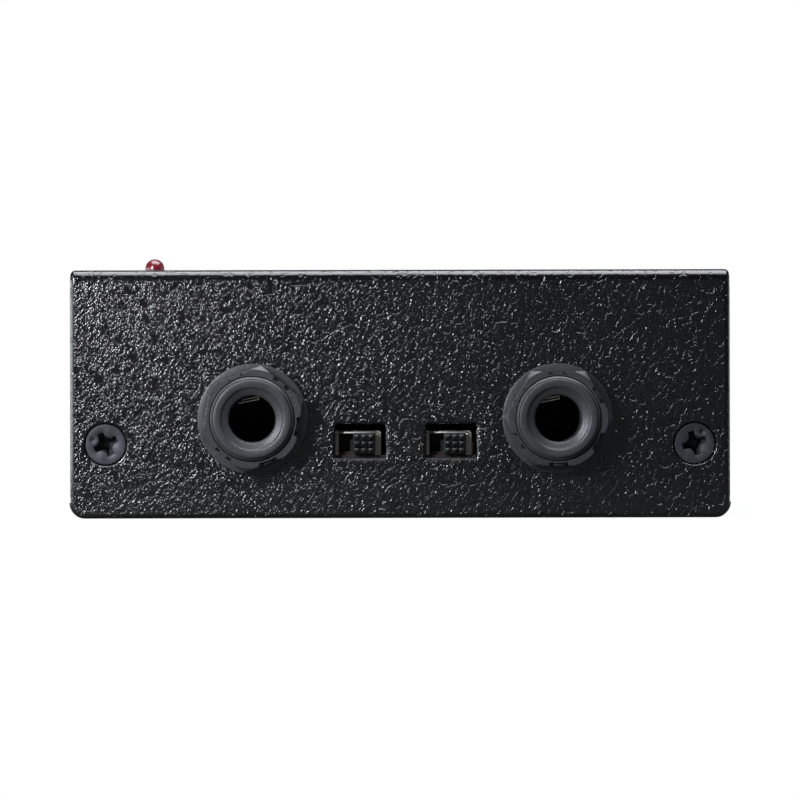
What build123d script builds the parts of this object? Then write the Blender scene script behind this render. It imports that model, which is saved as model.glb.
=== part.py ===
from build123d import *
import os

# A small desktop headphone amplifier in a two-shell folded steel case.
# Frame: millimetres, origin at the centre of the underside, +Z up, input face towards -Y,
# control face towards +Y. Whatever sits on a face is drawn in that face's own frame:
# x to the right as seen from outside, y up, z out of the face, zero on its outer surface.

# ------------------------------------------------------------------ case
case_width = 93.3            # over the tray's side walls
case_depth = 70.0            # over the cover's two faces
case_height = 35.0
sheet = 1.2                  # steel sheet of both shells
paint_gap = 0.1              # left between the two shells
cover_inset = 0.2            # cover's edges stay inside the tray's walls by this much, each side
cover_bend = 1.5             # outer radius where the top folds into a face
tray_bend = 2.2              # outer radius where the bottom folds into a side
face_corner = 2.0            # lower corners of both faces
wall_corner = 1.5            # upper corners of the side walls
wall_top_gap = 0.2           # side wall's edge to the underside of the top
past = 1.0                   # how far a cut runs on past the surface that it opens

# Flanges folded in from the side walls, which carry the face screws
flange_reach = 9.6
flange_low = 3.0
flange_high = 32.6
flange_bend = 1.3
flange_corner = 1.5
bend_relief = 0.8            # notch below each flange; above it the wall is cut back to its top
relief_depth = 2.6

# Face screws: M3, 90 degree countersunk heads let in a little below the face
screw_inset = 5.2            # from the case's side
screw_z = 10.45
screw_r = 1.5
screw_length = 6.0           # head included
screw_hole_clearance = 0.15
screw_head_r = 2.85
head_recess = 0.35
seat_gap = 0.05              # around heads and shanks
recess_cross = 3.45          # tip to tip
recess_arm = 0.85
recess_deep = 1.2
press_nut_r = 3.15
press_nut_height = 2.2

# ------------------------------------------------------------------ 6.35 mm jacks
jack_z = 14.0                # axis height of all three
input_jack_x = {"left": -20.7, "right": 22.15}
headphone_x = -23.8          # on the control face, seen from outside
nose_r = 5.95
nose_proud = 4.0
nose_chamfer = 0.6
nose_clearance = 0.15        # nose in the panel's hole
bore_r = 3.25
funnel_r = 4.4
funnel_depth = 1.2
jack_body_width = 17.6
jack_body_height = 16.0
jack_body_depth = 27.0
jack_body_round = 0.8
jack_rear_wall = 1.5
chamber_start = 6.2          # below the panel's outer face
chamber_half = 4.6
nut_r = 7.75                 # flange of the nut and its hexagon's corners
nut_flats = 13.4
nut_flange = 1.0
nut_face_r = 6.9             # where the chamfer of the hexagon's corners starts
nut_crown_height = 0.75      # of that chamfer, out to the corners
nut_height = 3.3
nut_notch_width = 2.6
nut_notch_depth = 1.1
nut_notch_floor_r = 6.35
nut_thread_gap = 0.05
nut_mouth_r = 6.25
nut_turn = {"left": 20.0, "right": 0.0, "headphone": 7.0}

# Contact leaves of the 6.35 mm jacks; axial places count back from the panel's outer face
leaf_thickness = 0.35
leaf_bend = 0.6
lug_r = 4.15
lug_proud = 3.0
leaf_slot_gap = 0.1
tip_leaf = {"turn": -90.0, "shift": 0.0, "width": 2.6, "bend_at": 26.0, "apex_at": 23.5,
            "end_at": 22.0, "apex_r": 2.4, "end_r": 3.0}
ring_leaf = {"turn": 0.0, "shift": 0.0, "width": 2.6, "bend_at": 19.5, "apex_at": 16.5,
             "end_at": 15.0, "apex_r": 2.75, "end_r": 3.3}
sleeve_leaf = {"turn": 101.0, "shift": 0.5, "width": 3.0, "bend_at": 12.0, "apex_at": 8.0,
               "end_at": 6.9, "apex_r": 2.5, "end_r": 3.1}

# ------------------------------------------------------------------ board
board_top = 8.85
board_thickness = 1.6
board_side_gap = 2.45        # to the side walls
board_end_gap = 7.8          # to the faces, past the screws' tips
board_edge_gap = 0.3         # board's tongues to the inside of the faces
notch_gap = 0.4              # board to each jack's body
standoff_inset = 3.0         # from the board's sides
standoff_end_inset = 10.0
standoff_flats = 5.0
standoff_shank_r = 2.1       # clinched through the bottom
board_screw_head_r = 2.6
board_screw_head = 1.9
board_screw_reach = 3.6
tapped_spare = 0.5           # of thread past the screw's end
tongue_margin = 0.6          # of board beside the DC inlet

# ------------------------------------------------------------------ slide switches
switch_x = {"left": -6.1, "right": 6.7}
window_offset = 0.5          # windows are cut a little right of the switches
window_width = 7.05
window_height = 4.75
window_low = 8.5
window_corner = 0.3
switch_behind = 0.5          # shield's front to the inside of the face
shield_sheet = 0.3
shield_width = 6.8
shield_lip = 0.33            # of the shield left above the slider's slot
shield_notch = 0.38          # the side folds end this much below the lip
shield_notch_depth = 1.0
shield_depth = 4.4
shield_bend = 0.45
terminal_board = 0.5         # phenolic board inside the shield's foot
travel = 2.0
slider_width = 3.05
slider_height = 2.9
slider_clearance = 0.05
slider_floor = 0.15          # knob's underside above the main board
slider_proud = 1.25          # out of the shield
slider_shoe_width = 4.1
slider_shoe_height = 2.0
slider_shoe_depth = 2.2
stud_rows = 3
stud_height = 0.3
stud_gap = 0.1
stud_tip = 0.25
slider_edge = 0.12
switch_pitch = 2.0
bridge_thickness = 0.2
bridge_width = 1.2
terminal_width = 0.8
terminal_thickness = 0.3
terminal_under_board = 1.5
terminal_hole_gap = 0.1      # each side

# ------------------------------------------------------------------ level controls
level_x = {"left": 18.0, "right": 1.0}
level_above_board = 6.5
pot_width = 9.8
pot_height = 11.3
pot_depth = 6.8
pot_chamber_r = 3.9
pot_chamber_depth = 1.8
bushing_r = 3.45
bushing_proud = 3.6
bushing_clearance = 0.1
bushing_edge = 0.3
pot_corner = 1.5
washer_r = 5.4
washer_thickness = 0.5
pot_nut_flats = 9.0
pot_nut_height = 2.0
shaft_r = 3.0
shaft_end = 12.5
shaft_running_gap = 0.04
shaft_flat = 1.5             # flat's distance from the shaft's axis
shaft_flat_start = 1.0       # past the bushing's end
shaft_edge = 0.4
wiper_r = 3.6
wiper_thickness = 1.2
knob_r = 6.75
knob_face_r = 6.1
knob_start = 0.8
knob_length = 14.2
knob_hollow_r = 5.65
knob_hollow_end = 4.3
knob_skirt = 2.6
knob_bore_spare = 0.3        # bore's run past the shaft's end
knob_edge = 0.5
flute_count = 18
flute_r = 0.6
flute_depth = 0.35
pointer_width = 0.9
pointer_depth = 0.4
pointer_length = 4.6

# ------------------------------------------------------------------ 3.5 mm jack
mini_x = -10.8
mini_z = 14.0
mini_nose_r = 2.95
mini_nose_proud = 2.8
mini_bore_r = 1.8
mini_body_width = 8.0
mini_body_depth = 12.5
mini_above_axis = 4.6
mini_chamber_start = 5.4
mini_chamber_half = 2.6
mini_nut_r = 4.0
mini_nut_height = 1.8
mini_nut_slot = 1.0
mini_nut_slot_depth = 0.8
mini_edge = 0.3
mini_body_corner = 0.6
mini_rear_wall = 1.0
mini_lug_proud = 2.0
mini_leaf_thickness = 0.2
mini_lug_r = 2.35
mini_leaf_bend = 0.3
mini_leaves = [
    {"turn": 0.0, "shift": 0.0, "width": 1.4, "bend_at": 11.8, "apex_at": 10.6,
     "end_at": 9.9, "apex_r": 1.3, "end_r": 1.6},
    {"turn": 180.0, "shift": 0.0, "width": 1.4, "bend_at": 8.6, "apex_at": 7.2,
     "end_at": 6.4, "apex_r": 1.5, "end_r": 1.9},
]

# ------------------------------------------------------------------ DC inlet
inlet_x = 29.3
inlet_above_board = 6.5
inlet_hole_r = 4.1
inlet_width = 8.6
inlet_height = 11.0
inlet_depth = 14.0
inlet_bore_r = 3.15
inlet_bore_depth = 10.0
inlet_floor_r = 2.95         # of the boss that holds the pin
inlet_pin_r = 1.0
inlet_pin_start = 3.2        # tip's place behind the outer face
inlet_pin_lug = 2.5
inlet_leaf = {"turn": -90.0, "shift": 0.0, "width": 2.4, "bend_at": 8.6, "apex_at": 6.4,
              "end_at": 5.0, "apex_r": 2.7, "end_r": 3.3}
inlet_slot_r = 3.9
inlet_lug_r = 3.45

# ------------------------------------------------------------------ lamp
led_inset = 9.25             # from the case's left side
led_behind = 43.0            # behind the input face
led_r = 1.45
led_rim_r = 1.9
led_rim_height = 1.0
led_proud = 3.2
led_hole_r = 1.6
led_lead_pitch = 2.54
led_lead_side = 0.5
lead_under_board = 1.2
led_spacer_r = 2.3
led_lead_hole_r = 0.45

# ------------------------------------------------------------------ electronics
chip_length = 9.8
chip_width = 6.4
chip_height = 3.3
chip_seat = 0.5
chip_pins = 4                # each side
chip_pin_pitch = 2.54
chip_pin_reach = 0.9
chip_pin_bend = 0.4
chip_pin_thickness = 0.25
chip_pin_width = 0.5
chip_edge = 0.4
chip_index_r = 0.8
chip_index_depth = 0.5
chip_x = [-4.6, 6.6]
chip_behind = 51.8           # rows are placed behind the control face's inside
can_r = 4.0
can_height = 11.5
can_bead = 0.35
can_bead_height = 2.0
can_edge = 0.5
can_row_x = [-19.0, -9.5, 0.0]
can_row_behind = 13.3
can_side_inset = 5.5         # the fourth one stands between the jacks, from the board's side
film_length = 7.2
film_width = 2.5
film_height = 6.5
film_edge = 0.4
film_x = [-6.4, 3.6]
film_behind = [19.8, 23.8, 40.3, 44.3]
resistor_length = 6.3
resistor_r = 1.15
resistor_edge = 0.4
resistor_span = 10.2
resistor_lead = 0.5
resistor_lead_bend = 0.9
resistor_lift = 1.5
resistor_x = [-4.5, 8.5]
resistor_behind = [28.6, 32.0, 35.4]
regulator_x = -22.0
regulator_behind = 27.8
regulator_width = 10.2
regulator_thick = 4.5
regulator_height = 9.0
regulator_tab = 1.3
regulator_tab_rise = 6.4
regulator_hole_r = 1.8
regulator_leg = 3.4
regulator_leg_width = 0.8
regulator_leg_thickness = 0.5
regulator_leg_hold = 1.0     # of each leg inside the moulding

# ------------------------------------------------------------------ derived places
inside_face = case_depth / 2 - sheet
screw_x = case_width / 2 - screw_inset
led_x = -(case_width / 2 - led_inset)
led_y = led_behind - case_depth / 2
board_width = case_width - 2 * (sheet + board_side_gap)
board_depth = case_depth - 2 * (sheet + board_end_gap)
standoff_x = board_width / 2 - standoff_inset
standoff_y = board_depth / 2 - standoff_end_inset
tray_half_depth = inside_face - paint_gap
flange_back = sheet + paint_gap + sheet          # behind a face's outer surface
board_bottom = board_top - board_thickness
countersink_r = screw_head_r + head_recess + seat_gap
screw_hole_r = screw_r + screw_hole_clearance
level_z = board_top + level_above_board
inlet_z = board_top + inlet_above_board
jack_rear = sheet + jack_body_depth
led_base = case_height - sheet - led_rim_height
shield_front = sheet + switch_behind             # behind a face's outer surface
slot_width = slider_width + travel + 2 * slider_clearance
slot_height = slider_floor + slider_height + slider_clearance

BACK = (Align.CENTER, Align.CENTER, Align.MAX)
OUT = (Align.CENTER, Align.CENTER, Align.MIN)
axial = Plane(origin=(0, 0, 0), x_dir=(0, 0, 1), z_dir=(0, 1, 0))


def on_face(side, x, z):
    """Frame of a face: side -1 is the input face, +1 the control face; x as seen from outside."""
    return Plane(
        origin=(-side * x, side * case_depth / 2, z),
        x_dir=(-side, 0, 0),
        z_dir=(0, side, 0),
    ).location


def disc(radius, low, high):
    """Cylinder about the z axis from low to high."""
    return Pos(0, 0, low) * Cylinder(radius, high - low, align=OUT)


def block(x_size, y_size, low, high):
    """Box centred on the z axis from low to high."""
    return Pos(0, 0, low) * Box(x_size, y_size, high - low, align=OUT)


def group(solids):
    """Identical pieces kept as separate solids of one node."""
    return Compound(children=list(solids))


def bent_sheet(points, bend, thickness, width, side):
    """Sheet folded along a line of points in XY, its width centred on z = 0."""
    line = FilletPolyline(*points, radius=bend)
    formed = make_brake_formed(thickness, width, line, side=side)
    return Pos(0, 0, -formed.bounding_box().center().Z) * formed


def rounded_block(x_size, y_size, low, high, radius):
    """Box with its four long edges along z rounded."""
    return Pos(0, 0, low) * extrude(RectangleRounded(x_size, y_size, radius), amount=high - low)


# ------------------------------------------------------------------ case shells
def screw_places():
    """Frames of the four face screws."""
    return [on_face(side, x, screw_z) for side in (-1, 1) for x in (-screw_x, screw_x)]


def screw_seat():
    """Countersink and clearance hole, sunk through the cover and the flange behind it."""
    cone_depth = countersink_r - screw_hole_r
    cone = Cone(screw_hole_r, countersink_r, cone_depth, align=BACK)
    return cone + disc(screw_hole_r, -flange_back - past, 0)


def cover_cuts():
    """Everything cut through the cover's two faces and its top."""
    jack_hole = disc(nose_r + nose_clearance, -2 * sheet, sheet)
    pot_hole = disc(bushing_r + bushing_clearance, -2 * sheet, sheet)
    mini_hole = disc(mini_nose_r + bushing_clearance, -2 * sheet, sheet)
    inlet_hole = disc(inlet_hole_r, -2 * sheet, sheet)
    window = rounded_block(window_width, window_height, -2 * sheet, sheet, window_corner)
    window_z = window_low + window_height / 2
    cuts = [on_face(-1, x, jack_z) * jack_hole for x in input_jack_x.values()]
    cuts += [on_face(-1, x + window_offset, window_z) * window for x in switch_x.values()]
    cuts += [on_face(1, x, level_z) * pot_hole for x in level_x.values()]
    cuts += [
        on_face(1, headphone_x, jack_z) * jack_hole,
        on_face(1, mini_x, mini_z) * mini_hole,
        on_face(1, inlet_x, inlet_z) * inlet_hole,
        Pos(led_x, led_y, 0) * disc(led_hole_r, case_height - 2 * sheet, case_height + sheet),
    ]
    cuts += [place * screw_seat() for place in screw_places()]
    return cuts


def top_cover():
    """Input face, top and control face folded from one sheet."""
    half = case_depth / 2
    points = [(-half, 0), (-half, case_height), (half, case_height), (half, 0)]
    width = case_width - 2 * cover_inset
    shell = Plane.YZ * bent_sheet(points, cover_bend, sheet, width, Side.RIGHT)
    low_edges = shell.edges().filter_by(Axis.Y).group_by(Axis.Z)[0]
    shell = fillet(low_edges, face_corner)
    return shell - cover_cuts()


def flange():
    """One flange with its fold, at the right end of the input face."""
    half = case_width / 2
    points = [
        (half, -tray_half_depth + relief_depth),
        (half, -tray_half_depth),
        (half - flange_reach, -tray_half_depth),
    ]
    height = flange_high - flange_low
    formed = bent_sheet(points, flange_bend, sheet, height, Side.RIGHT)
    free_end = formed.edges().filter_by(Axis.Y).group_by(Axis.X)[0]
    return Pos(0, 0, (flange_low + flange_high) / 2) * fillet(free_end, flange_corner)


def base_tray():
    """Bottom and two side walls folded from one sheet, with four flanges folded in."""
    half = case_width / 2
    wall_top = case_height - sheet - wall_top_gap
    points = [(-half, wall_top), (-half, 0), (half, 0), (half, wall_top)]
    tray = Plane.XZ * bent_sheet(points, tray_bend, sheet, 2 * tray_half_depth, Side.LEFT)
    relief_low = flange_low - bend_relief
    relief = Box(2 * sheet, relief_depth, case_height - relief_low, align=OUT)
    for x in (-half, half):
        for y in (-1, 1):
            tray -= Pos(x, y * (tray_half_depth - relief_depth / 2), relief_low) * relief
    top_corners = tray.edges().filter_by(Axis.X).group_by(Axis.Z)[-1]
    tray = fillet(top_corners, wall_corner)
    right_front = flange()
    right_pair = right_front + mirror(right_front, about=Plane.XZ)
    tray += right_pair + mirror(right_pair, about=Plane.YZ)
    tray -= [place * screw_seat() for place in screw_places()]
    tray -= [place * disc(standoff_shank_r, -sheet, 2 * sheet) for place in standoff_places(0)]
    return tray


def cover_screw(turn):
    """Countersunk screw with a cross recess, in its face's frame."""
    cone_height = screw_head_r - screw_r
    head = Pos(0, 0, -head_recess) * Cone(screw_r, screw_head_r, cone_height, align=BACK)
    shank = disc(screw_r, -head_recess - screw_length, -head_recess - cone_height)
    arm = Box(recess_cross, recess_arm, 2 * recess_deep)
    cross = Pos(0, 0, -head_recess) * Rot(0, 0, turn) * (arm + Rot(0, 0, 90) * arm)
    return head + shank - cross


def press_nut():
    """Round nut pressed against the back of a flange, in its face's frame."""
    top = -flange_back
    return disc(press_nut_r, top - press_nut_height, top) - disc(
        screw_r + seat_gap, top - 2 * press_nut_height, top + sheet
    )


# ------------------------------------------------------------------ contact leaves
def leaf(spec, thickness, bend, lug_radius, lug_end):
    """Spring leaf along z: a straight lug, a slope to its contact point and a raised end."""
    points = [
        (-lug_end, lug_radius),
        (-spec["bend_at"], lug_radius),
        (-spec["apex_at"], spec["apex_r"]),
        (-spec["end_at"], spec["end_r"]),
    ]
    formed = axial * bent_sheet(points, bend, thickness, spec["width"], Side.LEFT)
    return Rot(0, 0, spec["turn"]) * Pos(0, spec["shift"], 0) * formed


def leaf_slot(spec, thickness, lug_radius, low, high):
    """Slot that a leaf's lug leaves through."""
    slot = Box(
        thickness + 2 * leaf_slot_gap,
        spec["width"] + 2 * leaf_slot_gap,
        high - low,
        align=(Align.MIN, Align.CENTER, Align.MIN),
    )
    spot = Pos(lug_radius - leaf_slot_gap, spec["shift"], low)
    return Rot(0, 0, spec["turn"]) * spot * slot


# ------------------------------------------------------------------ 6.35 mm jacks
def jack_body():
    """Moulded body, open at the top, with its threaded nose and funnelled bore."""
    body = rounded_block(
        jack_body_width, jack_body_height, -jack_rear, -sheet, jack_body_round
    )
    nose = disc(nose_r, -2 * sheet, nose_proud)
    nose = chamfer(nose.edges().group_by(Axis.Z)[-1], nose_chamfer)
    bore = disc(bore_r, -chamber_start - past, nose_proud)
    funnel = Pos(0, 0, nose_proud) * Cone(bore_r, funnel_r, funnel_depth, align=BACK)
    chamber_back = jack_rear - jack_rear_wall
    chamber = Pos(0, -chamber_half, -chamber_back) * Box(
        2 * chamber_half,
        chamber_half + jack_body_height,
        chamber_back - chamber_start,
        align=(Align.CENTER, Align.MIN, Align.MIN),
    )
    slots = [
        leaf_slot(spec, leaf_thickness, lug_r, -jack_rear - past, -chamber_back + past)
        for spec in (tip_leaf, ring_leaf, sleeve_leaf)
    ]
    return body + nose - [bore, funnel, chamber] - slots


def jack_leaf(spec):
    """Contact leaf of a 6.35 mm jack with its solder lug."""
    return leaf(spec, leaf_thickness, leaf_bend, lug_r, jack_rear + lug_proud)


def jack_nut(turn):
    """Flanged hexagon nut, its corners chamfered and a notch in the middle of each flat."""
    hexagon = extrude(RegularPolygon(nut_flats / 2, 6, major_radius=False), amount=nut_height)
    crown_low = nut_height - nut_crown_height
    crown = Pos(0, 0, nut_height) * Cone(nut_r, nut_face_r, nut_crown_height, align=BACK)
    crown += disc(nut_r, 0, crown_low)
    nut = (hexagon & crown) + disc(nut_r, 0, nut_flange)
    thread = disc(nose_r + nut_thread_gap, -past, nut_height + past)
    mouth_depth = nut_mouth_r - nose_r
    mouth = Pos(0, 0, nut_height) * Cone(nose_r, nut_mouth_r, mouth_depth, align=BACK)
    notch = Pos(nut_notch_floor_r, 0, nut_height) * Box(
        nut_r, nut_notch_width, 2 * nut_notch_depth, align=(Align.MIN, Align.CENTER, Align.CENTER)
    )
    notches = PolarLocations(0, 6, start_angle=30) * notch
    return Rot(0, 0, turn) * (nut - thread - mouth - notches)


# ------------------------------------------------------------------ slide switches
def switch_shield():
    """Folded shield, open below, its front cut away for the slider; y = 0 is the main board."""
    height = slot_height + shield_lip
    outer = Pos(0, 0, -shield_front - shield_depth) * Box(
        shield_width, height, shield_depth, align=(Align.CENTER, Align.MIN, Align.MIN)
    )
    outer = fillet(outer.edges().group_by(Axis.Y)[-1], shield_bend)
    inner = Pos(0, 0, -shield_front - shield_depth + shield_sheet) * Box(
        shield_width - 2 * shield_sheet,
        height - shield_sheet,
        shield_depth - 2 * shield_sheet,
        align=(Align.CENTER, Align.MIN, Align.MIN),
    )
    slot = Pos(0, 0, -shield_front - 2 * shield_sheet) * Box(
        slot_width, slot_height, 4 * shield_sheet, align=(Align.CENTER, Align.MIN, Align.MIN)
    )
    notch = Box(slot_width, shield_notch, shield_notch_depth,
                align=(Align.MIN, Align.MAX, Align.MAX))
    right_notch = Pos(slot_width / 2, height, -shield_front) * notch
    return outer - inner - slot - right_notch - mirror(right_notch, about=Plane.YZ)


def switch_terminal_board():
    """Phenolic board inside the shield's foot, behind its front."""
    inset = shield_sheet + slider_clearance
    return Pos(0, 0, -shield_front - shield_depth + inset) * Box(
        shield_width - 2 * inset,
        terminal_board,
        shield_depth - 2 * inset,
        align=(Align.CENTER, Align.MIN, Align.MIN),
    )


def switch_terminals():
    """Three terminals in line, which pass down through both boards."""
    pin = Box(terminal_width, board_thickness + terminal_under_board, terminal_thickness,
              align=(Align.CENTER, Align.MAX, Align.CENTER))
    middle = -shield_front - shield_depth / 2
    return group(Pos(step * switch_pitch, 0, middle) * pin for step in (-1, 0, 1))


def terminal_hole():
    """Clearance hole for one terminal through the main board."""
    gap = 2 * terminal_hole_gap
    return Box(terminal_width + gap, 4 * board_thickness, terminal_thickness + gap)


def shoe_front():
    """Front of the slider's shoe, just behind the shield's front."""
    return -shield_front - shield_sheet - slider_clearance


def switch_slider():
    """Moulded slider at the right end of its travel: a studded knob in front of a wider shoe."""
    front = -shield_front + slider_proud
    shoe_low = terminal_board + bridge_thickness + 2 * slider_clearance
    knob = Pos(0, slider_floor, front) * Box(
        slider_width, slider_height, front + shield_front + shield_sheet,
        align=(Align.CENTER, Align.MIN, Align.MAX),
    )
    knob = chamfer(knob.faces().sort_by(Axis.Z)[-1].edges(), slider_edge)
    neck = Pos(0, shoe_low, front - slider_proud) * Box(
        slider_width, slider_shoe_height, 2 * shield_sheet,
        align=(Align.CENTER, Align.MIN, Align.MAX),
    )
    shoe = Pos(0, shoe_low, shoe_front()) * Box(
        slider_shoe_width, slider_shoe_height, slider_shoe_depth,
        align=(Align.CENTER, Align.MIN, Align.MAX),
    )
    across = slider_width / stud_rows
    upward = slider_height / stud_rows
    stud = loft([
        Rectangle(across - stud_gap, upward - stud_gap),
        Pos(0, 0, stud_height) * Rectangle(stud_tip, stud_tip),
    ])
    middle = Pos(0, slider_floor + slider_height / 2, front)
    studs = middle * GridLocations(across, upward, stud_rows, stud_rows) * stud
    return Pos(travel / 2, 0, 0) * (knob + neck + shoe + studs)


def switch_bridge():
    """Sliding bridge under the slider's shoe, just clear of the terminal board."""
    middle = shoe_front() - slider_shoe_depth / 2
    return Pos(travel / 2, terminal_board + slider_clearance, middle) * Box(
        slider_width, bridge_thickness, bridge_width, align=(Align.CENTER, Align.MIN, Align.CENTER)
    )


# ------------------------------------------------------------------ level controls
def pot_body():
    """Potentiometer housing with its bushing, bored for the shaft, hollow round the wiper."""
    top = pot_height - level_above_board
    housing = Pos(0, -level_above_board, -sheet - pot_depth) * Box(
        pot_width, level_above_board + top, pot_depth, align=(Align.CENTER, Align.MIN, Align.MIN)
    )
    housing = fillet(housing.edges().filter_by(Axis.Z).group_by(Axis.Y)[-1], pot_corner)
    bushing = disc(bushing_r, -2 * sheet, bushing_proud)
    bushing = chamfer(bushing.edges().group_by(Axis.Z)[-1], bushing_edge)
    bore = disc(shaft_r + shaft_running_gap, -pot_chamber_start(), bushing_proud)
    chamber = disc(pot_chamber_r, -pot_chamber_start() - pot_chamber_depth, -pot_chamber_start())
    return housing + bushing - bore - chamber


def pot_chamber_start():
    """Depth of the wiper's chamber behind the face."""
    return sheet + (pot_depth - pot_chamber_depth) / 2


def pot_washer():
    """Flat washer under the bushing's nut."""
    return disc(washer_r, 0, washer_thickness) - disc(bushing_r + seat_gap, -past, past)


def pot_nut():
    """Thin hexagon nut on the bushing."""
    low = washer_thickness
    hexagon = extrude(RegularPolygon(pot_nut_flats / 2, 6, major_radius=False),
                      amount=pot_nut_height)
    return Pos(0, 0, low) * hexagon - disc(bushing_r + seat_gap, 0, low + 2 * pot_nut_height)


def flat_cutter(gap):
    """Removes what lies above the shaft's flat, past the bushing."""
    return Pos(0, shaft_flat + gap, bushing_proud + shaft_flat_start) * Box(
        3 * shaft_r, 3 * shaft_r, 3 * shaft_end, align=(Align.CENTER, Align.MIN, Align.MIN)
    )


def pot_shaft():
    """D shaft with the wiper's disc on its inner end."""
    disc_gap = (pot_chamber_depth - wiper_thickness) / 2
    wiper_top = -pot_chamber_start() - disc_gap
    shaft = disc(shaft_r, wiper_top, shaft_end)
    shaft = chamfer(shaft.edges().group_by(Axis.Z)[-1], shaft_edge)
    return shaft - flat_cutter(0) + disc(wiper_r, wiper_top - wiper_thickness, wiper_top)


def knob():
    """Fluted knob, hollow behind for the nut, with a D bore and a pointer groove."""
    end = knob_start + knob_length
    rim = knob_start + knob_skirt
    outline = Polyline(
        (0, knob_start), (knob_r, knob_start), (knob_r, rim), (knob_face_r, end), (0, end),
        close=True,
    )
    solid = revolve(Plane.XZ * make_face(outline), Axis.Z)
    solid = chamfer(solid.edges().group_by(Axis.Z)[-1], knob_edge)
    hollow = disc(knob_hollow_r, 0, knob_hollow_end)
    bore = disc(shaft_r + seat_gap / 2, 0, shaft_end + knob_bore_spare) - flat_cutter(seat_gap / 2)
    reach = knob_face_r + flute_r - flute_depth
    flute = Pos(reach, 0, rim + flute_r) * Cylinder(flute_r, knob_length, align=OUT)
    flutes = PolarLocations(0, flute_count, start_angle=90 + 180 / flute_count) * flute
    groove = Pos(0, knob_face_r - pointer_length, end) * Box(
        pointer_width, 2 * pointer_length, 2 * pointer_depth,
        align=(Align.CENTER, Align.MIN, Align.CENTER),
    )
    return solid - hollow - bore - flutes - groove


# ------------------------------------------------------------------ 3.5 mm jack
def mini_body():
    """Small moulded body standing on the board, with its threaded nose and bore."""
    rear = sheet + mini_body_depth
    low = board_top - mini_z
    body = Pos(0, low, -rear) * Box(
        mini_body_width, mini_above_axis - low, mini_body_depth,
        align=(Align.CENTER, Align.MIN, Align.MIN),
    )
    body = fillet(body.edges().filter_by(Axis.Z).group_by(Axis.Y)[-1], mini_body_corner)
    nose = disc(mini_nose_r, -2 * sheet, mini_nose_proud)
    nose = chamfer(nose.edges().group_by(Axis.Z)[-1], mini_edge)
    bore = disc(mini_bore_r, -mini_chamber_start - past, mini_nose_proud)
    back = -rear + mini_rear_wall
    chamber = block(2 * mini_chamber_half, 2 * mini_chamber_half, back, -mini_chamber_start)
    slots = [
        leaf_slot(spec, mini_leaf_thickness, mini_lug_r, -rear - past, back + past)
        for spec in mini_leaves
    ]
    return body + nose - bore - chamber - slots


def mini_contacts():
    """The two leaves of the 3.5 mm jack."""
    lug_end = sheet + mini_body_depth + mini_lug_proud
    return group(
        leaf(spec, mini_leaf_thickness, mini_leaf_bend, mini_lug_r, lug_end) for spec in mini_leaves
    )


def mini_nut():
    """Round nut with two spanner slots."""
    ring = disc(mini_nut_r, 0, mini_nut_height)
    ring = chamfer(ring.edges().group_by(Axis.Z)[-1], mini_edge)
    slot = Pos(0, 0, mini_nut_height) * Box(3 * mini_nut_r, mini_nut_slot, 2 * mini_nut_slot_depth)
    return ring - disc(mini_nose_r + nut_thread_gap, -past, mini_nut_height + past) - slot


# ------------------------------------------------------------------ DC inlet
def inlet_body():
    """Moulded inlet standing on the board with a blind bore round its pin."""
    rear = sheet + inlet_depth
    low = -inlet_above_board
    body = Pos(0, low, -rear) * Box(
        inlet_width, inlet_height, inlet_depth, align=(Align.CENTER, Align.MIN, Align.MIN)
    )
    bore = disc(inlet_bore_r, -sheet - inlet_bore_depth, 0)
    hollow = Pos(0, -inlet_slot_r, -rear - past) * Box(
        inlet_leaf["width"] + 2 * leaf_slot_gap,
        inlet_slot_r,
        rear - sheet - past,
        align=(Align.CENTER, Align.MIN, Align.MIN),
    )
    floor = disc(inlet_floor_r, -rear, -sheet - inlet_bore_depth)
    pin_hole = disc(inlet_pin_r, -rear - past, 0)
    return body - bore - (hollow - floor) - pin_hole


def inlet_pin():
    """Centre pin with a tapered end, and its lug behind."""
    tip = -inlet_pin_start
    pin = disc(inlet_pin_r, -sheet - inlet_depth - inlet_pin_lug, tip)
    return chamfer(pin.edges().group_by(Axis.Z)[-1], inlet_pin_r / 2)


def inlet_contact():
    """Leaf that presses on the plug's barrel."""
    lug_end = sheet + inlet_depth + inlet_pin_lug
    return leaf(inlet_leaf, leaf_thickness, leaf_bend, inlet_lug_r, lug_end)


# ------------------------------------------------------------------ lamp
def led_lens():
    """Domed 3 mm lens with its rim against the underside of the top."""
    top = case_height + led_proud
    body = disc(led_r, led_base, top - led_r) + Pos(0, 0, top - led_r) * Sphere(led_r)
    return Pos(led_x, led_y, 0) * (body + disc(led_rim_r, led_base, led_base + led_rim_height))


def led_lead_places():
    """The lamp's two leads."""
    return [Pos(led_x + step * led_lead_pitch / 2, led_y, 0) for step in (-1, 1)]


def led_leads():
    """Two square leads from the lens down through the board."""
    lead = block(led_lead_side, led_lead_side, board_bottom - lead_under_board, led_base)
    return group(place * lead for place in led_lead_places())


def led_spacer():
    """Nylon tube that holds the lens up to the top, bored for the leads."""
    tube = Pos(led_x, led_y, 0) * disc(led_spacer_r, board_top, led_base)
    hole = disc(led_lead_hole_r, board_top - past, led_base + past)
    return tube - [place * hole for place in led_lead_places()]


# ------------------------------------------------------------------ board and what holds it
def standoff_places(height):
    """The four board supports, at a height."""
    return [Pos(x, y, height) for x in (-standoff_x, standoff_x) for y in (-standoff_y, standoff_y)]


def standoff():
    """Hexagon standoff clinched through the bottom, tapped for the board's screw."""
    hexagon = RegularPolygon(standoff_flats / 2, 6, major_radius=False, rotation=30)
    post = Pos(0, 0, sheet) * extrude(hexagon, amount=board_bottom - sheet)
    shank = disc(standoff_shank_r, 0, sheet)
    tapped = disc(screw_r + seat_gap, board_bottom - board_screw_reach - tapped_spare, board_bottom)
    return post + shank - tapped


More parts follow.
